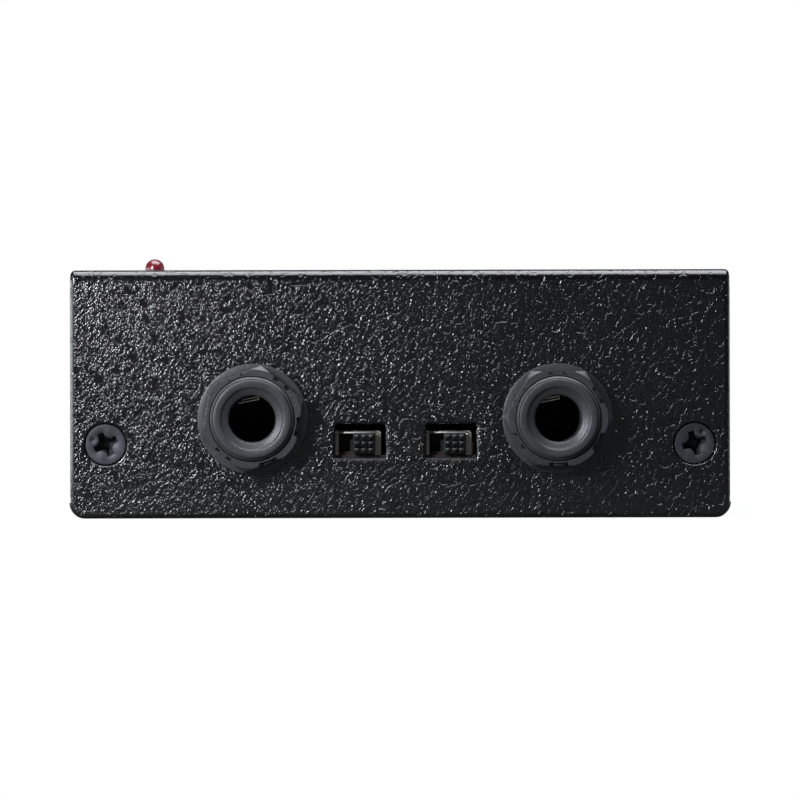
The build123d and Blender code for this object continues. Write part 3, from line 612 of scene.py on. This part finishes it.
def soften(node, finish, width):
    """Node that keeps its shape: its finish, and its edges eased by a width in millimetres."""
    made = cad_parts[node]
    made.data.materials.clear()
    made.data.materials.append(finish)
    if width:
        weld = made.modifiers.new("weld", "WELD")
        weld.merge_threshold = 1e-6
        eased = made.modifiers.new("eased", "BEVEL")
        eased.width = width * MM
        eased.segments = 2
        eased.limit_method = "ANGLE"
        eased.angle_limit = math.radians(eased_angle)
        eased.harden_normals = True


# ================================================================== case
def screw_centres():
    """World x of the two screws on each face, and their z."""
    low, high = (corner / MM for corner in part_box("cover_screws"))
    r = (high.z - low.z) / 2
    return [low.x + r, high.x - r], (low.z + high.z) / 2


def cover_blank():
    """Outline and holes of the cover before it is folded."""
    screw_x, screw_z = screw_centres()
    jack_z = centre_of("input_left_nut").z
    plain = rim(paint_edge, sheet, inner_edge)
    sink = rim(countersink_edge, countersink_wall)
    sink.append((countersink_r - countersink_foot_r, sheet))

    def on_control_face(node, radius):
        middle = centre_of(node)
        return circle(radius, 64, middle.x, blank_run - middle.z), plain

    holes = []
    for hand in HANDS:
        jack = centre_of(f"input_{hand}_nut")
        holes.append((circle(jack_hole_r, 64, jack.x, jack_z), plain))
        switch = centre_of(f"switch_{hand}_shield")
        window = rounded_rect(window_width, window_height, window_corner,
                              switch.x + window_offset, window_low + window_height / 2)
        holes.append((window, rim(window_edge, sheet, inner_edge)))
        holes.append(on_control_face(f"level_{hand}_nut", pot_hole_r))
    holes.append(on_control_face("headphone_jack_nut", jack_hole_r))
    holes.append(on_control_face("mini_jack_nut", mini_hole_r))
    holes.append(on_control_face("dc_inlet_pin", inlet_hole_r))
    led = centre_of("led_lens")
    led_v = face_run + fold_run + led.y + half_depth - cover_bend
    holes.append((circle(led_hole_r, 40, led.x, led_v), rim(led_hole_edge, sheet, inner_edge)))
    for x in screw_x:
        for v in (screw_z, blank_run - screw_z):
            holes.append((circle(countersink_r, 64, x, v), sink))
    outline = rounded_rect(2 * cover_half, blank_run, face_corner, 0.0, blank_run / 2, 10)
    return (outline, rim(side_edge, sheet, inner_edge, 6)), holes


def fold(mesh):
    """Folds the blank over its two fold lines: face, top, face."""
    lines = [face_run + fold_run * k / fold_steps for k in range(fold_steps + 1)]
    lines += [blank_run - line for line in lines]
    for line in lines:
        cut_at_plane(mesh, (0, line, 0), (0, 1, 0), dist=1e-5)
    for vert in mesh.verts:
        x, v, depth = vert.co.x, vert.co.y, -vert.co.z
        back = v > blank_run / 2
        v = blank_run - v if back else v
        if v <= face_run:
            y, z = -half_depth + depth, v
        elif v <= face_run + fold_run:
            angle = (v - face_run) / cover_bend
            y = -half_depth + cover_bend - (cover_bend - depth) * math.cos(angle)
            z = height - cover_bend + (cover_bend - depth) * math.sin(angle)
        else:
            y, z = -half_depth + cover_bend + v - face_run - fold_run, height - depth
        vert.co = (x, -y if back else y, z)


def make_cover():
    """Input face, top and control face in one folded sheet."""
    mesh = bmesh.new()
    outer, holes = cover_blank()
    pressed(mesh, outer, holes)
    fold(mesh)
    piece("cover", mesh, Matrix.Scale(MM, 4), "case", paint, ["top_cover"], 40)


# ================================================================== face screws
screw_head_r = 2.85
screw_shank_r = 1.5
screw_length = 6.0
screw_edge = 0.14            # rounding of the head
screw_pitch = 0.5
screw_thread_start = 0.4     # below the head's cone
screw_thread_depth = 0.22
screw_point = 0.3            # taper at the end
head_recess = 0.35           # of the head's top below the face
cross_reach = 1.70           # from the middle to the end of a wing
cross_arm = 0.45
cross_tip = 0.50             # half the width of a wing's end
wing_corner = 0.05
wing_round = 0.06
cross_hollow = 1.424         # middle of the hollow flank between two wings
cross_deep = 2.4
cross_rows = [(-0.05, 0.0), (-0.02, 0.02), (0.0, 0.06), (0.04, 0.5), (0.05, 1.2, 0.82),
              (0.05, cross_deep, 0.4)]
dimple_r = 0.36              # punched mark beside the recess
dimple_from_middle = 1.92
dimple_rows = [(-0.03, 0.0), (0.03, 0.04), (0.1, 0.13), (0.2, 0.21), (0.3, 0.25)]

# Face and which of its two screws: turn of the recess and place of the dimple, in degrees.
face_screws = {
    (INPUT_FACE, 0): (27.0, 161.0), (INPUT_FACE, 1): (17.0, 55.0),
    (CONTROL_FACE, 0): (38.0, 250.0), (CONTROL_FACE, 1): (71.0, 120.0),
}


def cross_outline(turn):
    """Cross recess: four wings with hollow flanks between them."""
    wing = [(cross_reach - wing_corner, -cross_tip), (cross_reach, -cross_tip + wing_round),
            (cross_reach + wing_round, 0.0),
            (cross_reach, cross_tip - wing_round), (cross_reach - wing_corner, cross_tip)]
    for k in range(9):
        x, y = polar(cross_hollow - cross_arm, TURN * 3 / 4 - TURN / 4 * k / 8)
        wing.append((cross_hollow + x, cross_hollow + y))
    points = []
    for arm in range(4):
        base = math.radians(turn) + arm * TURN / 4
        points += [
            (x * math.cos(base) - y * math.sin(base), x * math.sin(base) + y * math.cos(base))
            for x, y in wing
        ]
    return points


def one_screw(mesh, turn, dimple):
    """Countersunk head with its recess, and a threaded shank."""
    cone = screw_head_r - screw_shank_r
    rows = rim(screw_edge, screw_edge)[:-1] + [(-cone, cone + screw_edge)]
    depth = cone + screw_thread_start
    while depth < screw_length - screw_pitch:
        rows += [(-cone - screw_thread_depth, depth), (-cone, depth + screw_pitch / 2)]
        depth += screw_pitch
    rows.append((-cone - screw_point, screw_length))
    dot = circle(dimple_r, 24, *polar(dimple_from_middle, math.radians(dimple)))
    pressed(mesh, (circle(screw_head_r, 72), rows),
            cuts=[(cross_outline(turn), cross_rows), (dot, dimple_rows)], level=-head_recess)


def make_screws():
    """The four screws of the cover, in one piece."""
    xs, z = screw_centres()
    mesh = bmesh.new()
    for (side, which), (turn, dimple) in face_screws.items():
        part = bmesh.new()
        one_screw(part, turn, dimple)
        part.transform(face_frame(side, xs[which], z))
        passing = bpy.data.meshes.new("part")
        part.to_mesh(passing)
        part.free()
        mesh.from_mesh(passing)
        bpy.data.meshes.remove(passing)
    mesh.transform(Matrix.Scale(1 / MM, 4))
    piece("face_screws", mesh, Matrix.Scale(MM, 4), "case", black_steel,
          ["cover_screws"], 35)


# ================================================================== 6.35 mm jacks
# Face of each jack, and turn of its nut in degrees.
jacks = {"input_left": (INPUT_FACE, 20.5), "input_right": (INPUT_FACE, 0.0),
         "headphone_jack": (CONTROL_FACE, 7.0)}

nut_r = 7.75
nut_half_flats = 6.6
nut_flange = 1.0
nut_height = 3.3
nut_bore_r = 5.96
nut_mouth_r = 6.03
nut_crown_r = 6.93           # of the crown's cone at the nut's face
nut_crown_rise = 0.72
nut_crown_taper = 0.69
nut_corner = 0.12            # rounding below the crown
nut_foot_edge = 0.16         # rounding of the flange
notch_floor_r = 6.24
notch_half = 1.3
notch_at_r = 6.5             # where the notch is that wide
notch_depth = 1.7
notch_step = 0.4             # depth of the middle of a notch
notch_lip = 0.1              # left of a notch's floor outside its last row
notch_edge = math.asin(notch_half / notch_at_r)
column_steps = (-30.0, -28.5, -26, -23, -20, -18, -16.5, -15, -13)


def nut_columns():
    """Angles round one nut from a corner, closer together beside each notch."""
    before = [math.radians(step) for step in column_steps]
    before += [-notch_edge - 0.006, -notch_edge, -notch_edge * 0.52, -notch_edge * 0.48,
               -notch_edge / 4]
    after = [-step for step in reversed(before)][:-1]
    return [
        flat * TURN / 6 + TURN / 12 + step
        for flat in range(6) for step in before + [0.0] + after
    ]


def nut_rows(angle):
    """Section of the nut at one angle, as (radius, z) from its bore over the top to its foot."""
    off = abs((angle % (TURN / 6)) - TURN / 12)
    limit = nut_half_flats / math.cos(off)
    drop = 0.0
    if off <= notch_edge + 1e-6:
        drop = notch_depth if off > notch_edge * 0.5 else notch_step

    def top(r):
        crown = nut_height - max(0.0, r - nut_crown_r) / nut_crown_taper * nut_crown_rise
        return min(nut_height, crown)

    flat_end = min(limit, nut_crown_r)
    floor_end = flat_end - notch_lip
    rounded = 0.0 if limit > flat_end + 0.05 else 0.04
    mid = (flat_end + limit) / 2
    outside = max(limit + 0.004, nut_r - nut_foot_edge)
    mouth = [(nut_bore_r, 0.0), (nut_bore_r, nut_height - 0.12),
             (nut_mouth_r - 0.03, nut_height - 0.04), (nut_mouth_r + 0.03, nut_height),
             (notch_floor_r - 0.012, nut_height)]
    floor = [(notch_floor_r, nut_height - drop)]
    floor += [(notch_floor_r + (floor_end - notch_floor_r) * share, nut_height - drop)
              for share in (0.5, 1.0)]
    crown = [(flat_end, top(flat_end) - rounded - drop), (mid, top(mid) - drop),
             (limit - 0.02, top(limit - 0.02) - 0.03 - drop),
             (limit, top(limit) - nut_corner - drop)]
    flange = [(limit, nut_flange + 0.05), (limit + 0.003, nut_flange), (outside, nut_flange),
              (nut_r - 0.04, nut_flange - 0.05), (nut_r, nut_flange - nut_foot_edge),
              (nut_r, 0.08), (nut_r - 0.08, 0.0)]
    return mouth + floor + crown + flange


def make_nut(name, side, turn):
    """Flanged hexagon nut with a chamfered crown and a notch in each flat."""
    mesh = bmesh.new()
    columns = nut_columns()
    sections = [nut_rows(angle) for angle in columns]
    rings = []
    for row in zip(*sections):
        rings.append([
            mesh.verts.new((*polar(radius, angle + math.radians(turn)), z))
            for angle, (radius, z) in zip(columns, row)
        ])
    skin_rows(mesh, rings + rings[:1])
    piece(name + "_ring_nut", mesh, seat_of(name + "_nut", side), "case", plastic_black,
          [name + "_nut"], 24)


nose_r = 5.95
nose_proud = 4.0
bore_r = 3.25
nose_joint = 0.15            # in front of the face, where the nose takes over
thread_foot = 0.1
thread_start = 0.4
thread_end = 0.8             # below the nose's end
thread_pitch = 0.75
thread_depth = 0.32

# Radius, and depth below the nose's end.
nose_end = [
    (nose_r - 0.04, 0.72), (nose_r - 0.10, 0.50), (nose_r - 0.28, 0.30),          # lead in
    (5.60, 0.26), (5.56, 0.34), (5.50, 0.34), (5.46, 0.12),                       # ring groove
    (5.40, 0.05), (5.28, 0.01), (5.05, 0.0), (4.62, 0.02), (4.44, 0.08),          # lip
    (4.34, 0.17), (4.28, 0.27), (4.20, 0.32), (3.90, 0.44), (3.60, 0.58),         # funnel
    (3.42, 0.68), (3.32, 0.78), (3.26, 0.92), (bore_r, 1.15), (bore_r, 2.1),      # bore
]


def nose_profile():
    """Outside, lip and funnel of the threaded nose, closed through its foot."""
    profile = [(bore_r, thread_foot), (nose_r - 0.05, thread_foot)]
    z = thread_start
    while z < nose_proud - thread_end:
        profile += [(nose_r, z), (nose_r - thread_depth, z + thread_pitch / 2)]
        z += thread_pitch
    return profile + [(radius, nose_proud - below) for radius, below in nose_end]


def make_jack_moulding(name, side):
    """Moulded housing behind the panel, and the nose in front of it."""
    mesh = bmesh.new()
    mesh.from_mesh(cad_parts[name + "_body"].data)
    bmesh.ops.remove_doubles(mesh, verts=mesh.verts, dist=1e-6)
    joint = (0, side * (half_depth + nose_joint) * MM, 0)
    edges = cut_at_plane(mesh, joint, (0, side, 0), dist=1e-7, clear_outer=True)
    bmesh.ops.triangle_fill(mesh, use_beauty=True, edges=edges)
    place = seat_of(name + "_nut", side)
    mesh.transform(place.inverted())
    nose = nose_profile()
    turned(mesh, nose + nose[:1], 120)
    piece(name + "_moulding", mesh, place, "case", plastic_black,
          [name + "_body"], 28)


leaf_end_depth = 6.85        # of the sleeve leaf's near end behind the face
leaf_end = [(-2.40, 2.12), (0.62, 2.70), (0.52, 3.20), (-2.30, 2.66)]
leaf_rim = 0.13
leaf_rim_depth = 0.2


def make_contact_rim(name, side):
    """Rim of pale bright metal round the near end of the sleeve leaf, seen through the bore: a
    painted highlight of the leaf's lit edge.
    """
    mesh = bmesh.new()
    inner = moved_out(leaf_end, -leaf_rim)
    rings = [
        [mesh.verts.new((x, y, -leaf_end_depth - depth)) for x, y in points]
        for points, depth in ((leaf_end, leaf_rim_depth), (leaf_end, 0.0),
                              (inner, 0.0), (inner, leaf_rim_depth))
    ]
    skin_rows(mesh, rings + rings[:1])
    piece(name + "_contact_rim", mesh, seat_of(name + "_nut", side), "case", contact_highlight_metal)


# ================================================================== slide switches
slider_width = 3.05
slider_height = 2.9
slider_proud = 1.25
slider_edge = 0.14
slider_corner = 0.16
slider_root = 0.6            # of the block behind its proud part
stud_proud = 0.3
stud_gap = 0.12              # between two studs, and the rounding of their corners
stud_spread = 0.97
stud_rows = [(0.0, 0.0), (0.04, -0.05), (0.2, -0.2), (0.29, -0.27), (0.36, -stud_proud)]
shoe_half = 1.95
shoe_tall = 2.0
shoe_behind = 0.4            # of the shoe's front behind the block's proud part


def make_slider(hand):
    """Studded slider: nine soft pyramids on a rounded block, and its shoe behind."""
    low, high = (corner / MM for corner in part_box(f"switch_{hand}_slider"))
    front = -low.y - half_depth - stud_proud
    knob_z = high.z - slider_height / 2
    across, up = slider_width / 3, slider_height / 3
    studs = []
    for column in (-1, 0, 1):
        for row in (-1, 0, 1):
            base = rounded_rect(across - stud_gap, up - stud_gap, stud_gap,
                                column * across * stud_spread, row * up * stud_spread, 3)
            studs.append((base, stud_rows))
    block = rounded_rect(slider_width, slider_height, slider_corner, steps=4)
    mesh = bmesh.new()
    pressed(mesh, (block, rim(slider_edge, slider_proud + slider_root)), cuts=studs, level=front)
    shoe_low = low.z - knob_z
    box_block(mesh, (-shoe_half, shoe_low, -high.y - half_depth),
              (shoe_half, shoe_low + shoe_tall, front - slider_proud - shoe_behind))
    piece(f"switch_{hand}_button", mesh, face_frame(INPUT_FACE, (low.x + high.x) / 2, knob_z),
          f"switch_{hand}_slider", plastic_slider, [f"switch_{hand}_slider"], 30)


# ================================================================== level controls
knob_start = 0.8
knob_end = 15.0
knob_skirt = 2.6
knob_r = 6.75
knob_face_r = 6.1
knob_face_edge = 0.55
knob_side_rows = 12
knob_side_bulge = 1.6        # above 1, the side tapers more towards its end
knob_hollow_r = 5.65
knob_hollow_end = 4.3
knob_bore_r = 3.02
knob_bore_flat = 1.52
knob_bore_end = 12.8
flute_count = 18
flute_r = 0.6
flute_centre = knob_face_r + 0.25
flute_limit_r = knob_face_r - 0.65       # nothing further in is cut
pointer_width = 0.9
pointer_length = 4.6
pointer_depth = 0.4
pointer_corner = 0.25
pointer_from_edge = 0.9
pointer_rows = [(0.0, 0.0), (0.05, 0.05), (0.07, pointer_depth)]
inlay_gap = 0.08
inlay_edge = 0.04
inlay_thick = 0.22
inlay_rise = 0.2             # above the groove's floor
skirt_top = knob_start + knob_skirt


def fluted(angle, radius, z):
    """Knob's radius once the round flutes are cut above its skirt."""
    if radius < flute_limit_r or z < skirt_top:
        return radius
    pitch = TURN / flute_count
    off = (angle - TURN / 4) % pitch - pitch / 2
    across = flute_centre * math.sin(off)
    if abs(across) >= flute_r:
        return radius
    bottom = flute_centre * math.cos(off) - math.sqrt(flute_r ** 2 - across ** 2)
    runout = min(1.0, (z - skirt_top) / flute_r)
    return radius - max(0.0, radius - bottom) * (1 - math.sqrt(1 - runout ** 2))


def knob_profile():
    """Skirt, tapering side and rounded face of the knob, from its hollow outward."""
    profile = [(knob_hollow_r, knob_hollow_end), (knob_hollow_r, knob_start + 0.15),
               (knob_hollow_r + 0.12, knob_start), (knob_r - 0.25, knob_start),
               (knob_r - 0.06, knob_start + 0.07), (knob_r, knob_start + 0.25),
               (knob_r, skirt_top - 0.35), (knob_r - 0.05, skirt_top - 0.12),
               (knob_r - 0.16, skirt_top)]
    side_r = knob_r - 0.2
    side_end = knob_end - knob_face_edge
    for k in range(knob_side_rows + 1):
        share = (k / knob_side_rows) ** knob_side_bulge
        profile.append((side_r - (side_r - knob_face_r) * share,
                        skirt_top + 0.02 + (side_end - skirt_top) * share))
    for angle in quarter(4)[1:]:
        profile.append((knob_face_r - knob_face_edge * (1 - math.cos(angle)),
                        side_end + knob_face_edge * math.sin(angle)))
    return profile + [(knob_face_r - 0.75, knob_end)]


def make_knob(hand):
    """Fluted knob with a plain skirt, a flat face and a pointer groove with its inlay."""
    mesh = bmesh.new()
    rings = turned(mesh, knob_profile(), flute_count * 12, fluted)
    groove = rounded_rect(pointer_width, pointer_length, pointer_corner, 0.0,
                          knob_face_r - pointer_from_edge - pointer_length / 2, 4)
    cut = [[mesh.verts.new((x, y, knob_end - depth)) for x, y in moved_out(groove, -out)]
           for out, depth in pointer_rows]
    skin_rows(mesh, cut)
    fill(mesh, [cut[-1]])
    fill(mesh, [rings[-1], cut[0]])
    bore = [[mesh.verts.new((x, y, z)) for x, y in d_outline(knob_bore_r, knob_bore_flat)]
            for z in (knob_bore_end, knob_hollow_end)]
    skin_rows(mesh, bore)
    fill(mesh, [bore[0]])
    fill(mesh, [bore[1], rings[0]])
    place = seat_of(f"level_{hand}_nut", CONTROL_FACE)
    body = f"level_{hand}"
    piece(f"level_{hand}_cap", mesh, place, body, plastic_knob,
          [f"level_{hand}_knob"], 40)
    line = bmesh.new()
    inlay = moved_out(groove, -inlay_gap)
    pressed(line, (inlay, rim(inlay_edge, inlay_thick)),
            level=knob_end - pointer_depth + inlay_rise)
    piece(f"level_{hand}_pointer", line, place, body, pointer_white)


# ================================================================== lamp
dome_r = 1.45
dome_rim_r = 1.9
dome_rim_tall = 1.0
led_posts = [(-0.95, -0.15, 1.9), (0.2, 0.6, 2.3)]   # from x to x, and below the dome's top
led_post_half = 0.2
led_cup = [(0.0, 1.95), (0.42, 1.9), (0.58, 1.5), (0.5, 1.5), (0.3, 1.75), (0.0, 1.75)]


def make_lamp():
    """Domed lens with its rim, and the lead frame that shows dark inside it."""
    low, high = (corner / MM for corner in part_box("led_lens"))
    base, top = low.z, high.z
    wall_foot = base + dome_rim_tall
    profile = [(0.0, base), (dome_rim_r - 0.08, base), (dome_rim_r, base + 0.08),
               (dome_rim_r, wall_foot - 0.1), (dome_rim_r - 0.1, wall_foot),
               (dome_r, wall_foot)]
    profile += [(dome_r, wall_foot + (top - dome_r - wall_foot) * k / 4) for k in (1, 2, 3)]
    profile += [(dome_r * math.cos(angle), top - dome_r + dome_r * math.sin(angle))
                for angle in quarter(12)[:-1]]
    profile.append((0.0, top))
    mesh = bmesh.new()
    turned(mesh, profile, 64)
    middle = ((low.x + high.x) / 2 * MM, (low.y + high.y) / 2 * MM, 0)
    place = Matrix.Translation(middle) @ Matrix.Scale(MM, 4)
    piece("led_dome", mesh, place, "case", red_epoxy, ["led_lens"], 40)
    inner = bmesh.new()
    for left, right, below in led_posts:
        box_block(inner, (left, -led_post_half, base + 0.1),
                  (right, led_post_half, top - below))
    turned(inner, [(radius, top - below) for radius, below in led_cup], 32)
    piece("led_frame", inner, place, "case", tinned, sharp=30)


# ================================================================== build
make_cover()
make_screws()
for jack, (side, turn) in jacks.items():
    make_nut(jack, side, turn)
    make_jack_moulding(jack, side)
    make_contact_rim(jack, side)
for hand in HANDS:
    make_slider(hand)
    make_knob(hand)
make_lamp()

# Finish of every node that keeps its shape, and how far its edges are eased.
kept = {
    "base_tray": (paint, 0.25),
    "flange_press_nuts": (zinc, 0.1),
    "board_standoffs": (zinc, 0.12),
    "board_screws": (zinc, 0.0),
    "main_board": (laminate, 0.0),
    "led_leads": (tinned, 0.0),
    "led_spacer": (plastic_white, 0.12),
    "amplifier_chips": (chip_epoxy, 0.08),
    "chip_pins": (tinned, 0.0),
    "electrolytic_capacitors": (can_skin, 0.0),
    "film_capacitors": (film_red, 0.12),
    "resistors": (lacquer, 0.0),
    "voltage_regulator": (chip_epoxy, 0.0),
    "mini_jack_body": (plastic_black, 0.1),
    "mini_jack_nut": (nickel, 0.1),
    "mini_jack_contacts": (spring, 0.0),
    "dc_inlet_body": (plastic_black, 0.12),
    "dc_inlet_pin": (nickel, 0.0),
    "dc_inlet_contact": (spring, 0.0),
}
kept_on_each_hand = {
    "switch_{}_shield": (shell_metal, 0.07),
    "switch_{}_terminal_board": (phenolic, 0.0),
    "switch_{}_terminals": (tinned, 0.0),
    "switch_{}_bridge": (spring, 0.0),
    "level_{}_body": (plastic_black, 0.15),
    "level_{}_washer": (zinc, 0.06),
    "level_{}_nut": (zinc, 0.1),
    "level_{}_shaft": (nickel, 0.0),
}
for jack in jacks:
    for part in ("tip", "ring", "sleeve"):
        kept[f"{jack}_{part}_contact"] = (spring, 0.06)
for hand in HANDS:
    for node, look in kept_on_each_hand.items():
        kept[node.format(hand)] = look
for node, (finish, width) in kept.items():
    soften(node, finish, width)


# ================================================================== stage, lamps, camera
floor_reach = 3.0
floor_drop = 0.0001          # below the case's foot
floor_white = 0.95           # share of plain white round the case, full further away
floor_clearing = (0.08, 0.4)
floor_in_gloss = 0.04        # shares of the white surround that mirrors show
room_in_gloss = 0.03
plain_white = (1, 1, 1, 1)
room_tint = (0.92, 0.94, 1.0, 1)
room_strength = 0.02
lamp_tint = (0.905, 0.955, 1.0)

# Name, place, aim, width, height and watts; lengths in metres.
lamps = [
    ("key", (-0.160, -0.208, 0.104), (-0.01, -0.035, 0.0175), 0.050, 0.070, 0.66),
    ("top", (0.03, -0.027, 0.42), (0.03, -0.027, 0.03), 0.5, 0.36, 4.0),
    ("left", (-0.35, -0.02, 0.03), (-0.045, -0.03, 0.018), 0.56, 0.10, 0.6),
    ("right", (0.35, 0.15, 0.05), (0.045, 0.0, 0.018), 0.50, 0.30, 0.25),
    ("back", (0.024, 0.20, 0.019), (0.0, 0.035, 0.0175), 0.045, 0.032, 0.12),
    ("back_fill", (-0.15, 0.6, 0.25), (0.0, 0.035, 0.0175), 0.6, 0.5, 0.15),
    ("front", (0.0, -0.9, 0.02), (0.0, -0.035, 0.0175), 0.3, 0.15, 0.012),
]
camera_place = (0.0, -0.535, 0.01662)    # half a metre in front of the input face
camera_lens = 159.95
camera_roll = 0.13


def make_stage():
    """Pale floor that keeps a faint shadow and clears to plain white away from the case."""
    mesh = bmesh.new()
    bmesh.ops.create_grid(mesh, x_segments=1, y_segments=1, size=floor_reach)
    data = bpy.data.meshes.new("floor")
    mesh.to_mesh(data)
    mesh.free()
    floor = bpy.data.objects.new("floor", data)
    floor.location.z = -floor_drop
    bpy.context.scene.collection.objects.link(floor)
    card = Finish("floor_card", Roughness=0.9)
    seen, mirrored, through = (card.rays(kind) for kind in ("Camera", "Glossy", "Transmission"))
    away = card.node("ShaderNodeVectorMath", {"operation": "LENGTH"}, {0: card.place}, "Value")
    card.set("Base Color", card.blend(seen, rgb(50, 50, 52), rgb(232, 232, 232)))
    clear = away.ramp(*floor_clearing, floor_white, 1.0)
    glow = card.node("ShaderNodeEmission", {}, {"Color": plain_white, "Strength": 1.0})
    mixed = card.node("ShaderNodeMixShader", {}, {
        0: (seen + through) * clear + mirrored * floor_in_gloss,
        1: Value(card, card.shader.outputs[0]), 2: glow,
    })
    card.join(card.tree.nodes["Material Output"].inputs["Surface"], mixed)
    data.materials.append(card.material)


def make_world():
    """Dim even room; the white surround shows only where it is looked at."""
    world = bpy.data.worlds.new("studio")
    bpy.context.scene.world = world
    world.use_nodes = True
    studio = Shading(world.node_tree)
    seen, mirrored, through = (studio.rays(kind) for kind in ("Camera", "Glossy", "Transmission"))
    looked_at = studio.node("ShaderNodeMath", {"operation": "MAXIMUM"}, {0: seen, 1: through})
    shown = studio.node("ShaderNodeMath", {"operation": "MULTIPLY_ADD", "use_clamp": True},
                        {0: mirrored, 1: room_in_gloss, 2: looked_at})
    room = studio.tree.nodes["Background"]
    studio.join(room.inputs["Color"], room_tint)
    studio.join(room.inputs["Strength"], room_strength)
    white = studio.node("ShaderNodeBackground", {}, {"Color": plain_white, "Strength": 1.0})
    mixed = studio.node("ShaderNodeMixShader", {}, {
        0: shown, 1: Value(studio, room.outputs[0]), 2: white,
    })
    studio.join(studio.tree.nodes["World Output"].inputs["Surface"], mixed)


def make_light(name, place, aim, width, tall, power):
    """Rectangular soft lamp at a place, turned to a point."""
    light = bpy.data.lights.new(name, "AREA")
    light.shape = "RECTANGLE"
    light.size, light.size_y = width, tall
    light.energy = power
    light.color = lamp_tint
    made = bpy.data.objects.new(name, light)
    made.location = place
    made.rotation_euler = (Vector(aim) - Vector(place)).to_track_quat("-Z", "Y").to_euler()
    bpy.context.scene.collection.objects.link(made)


def make_camera():
    """Level camera square to the input face."""
    camera = bpy.data.objects.new("camera", bpy.data.cameras.new("camera"))
    camera.data.sensor_width = 36.0
    camera.data.lens = camera_lens
    camera.data.clip_start = 0.01
    camera.location = camera_place
    camera.rotation_euler = (math.radians(90), math.radians(camera_roll), 0)
    bpy.context.scene.collection.objects.link(camera)
    bpy.context.scene.camera = camera


make_stage()
make_world()
for row in lamps:
    make_light(*row)
make_camera()
bpy.context.scene.view_settings.view_transform = "Standard"
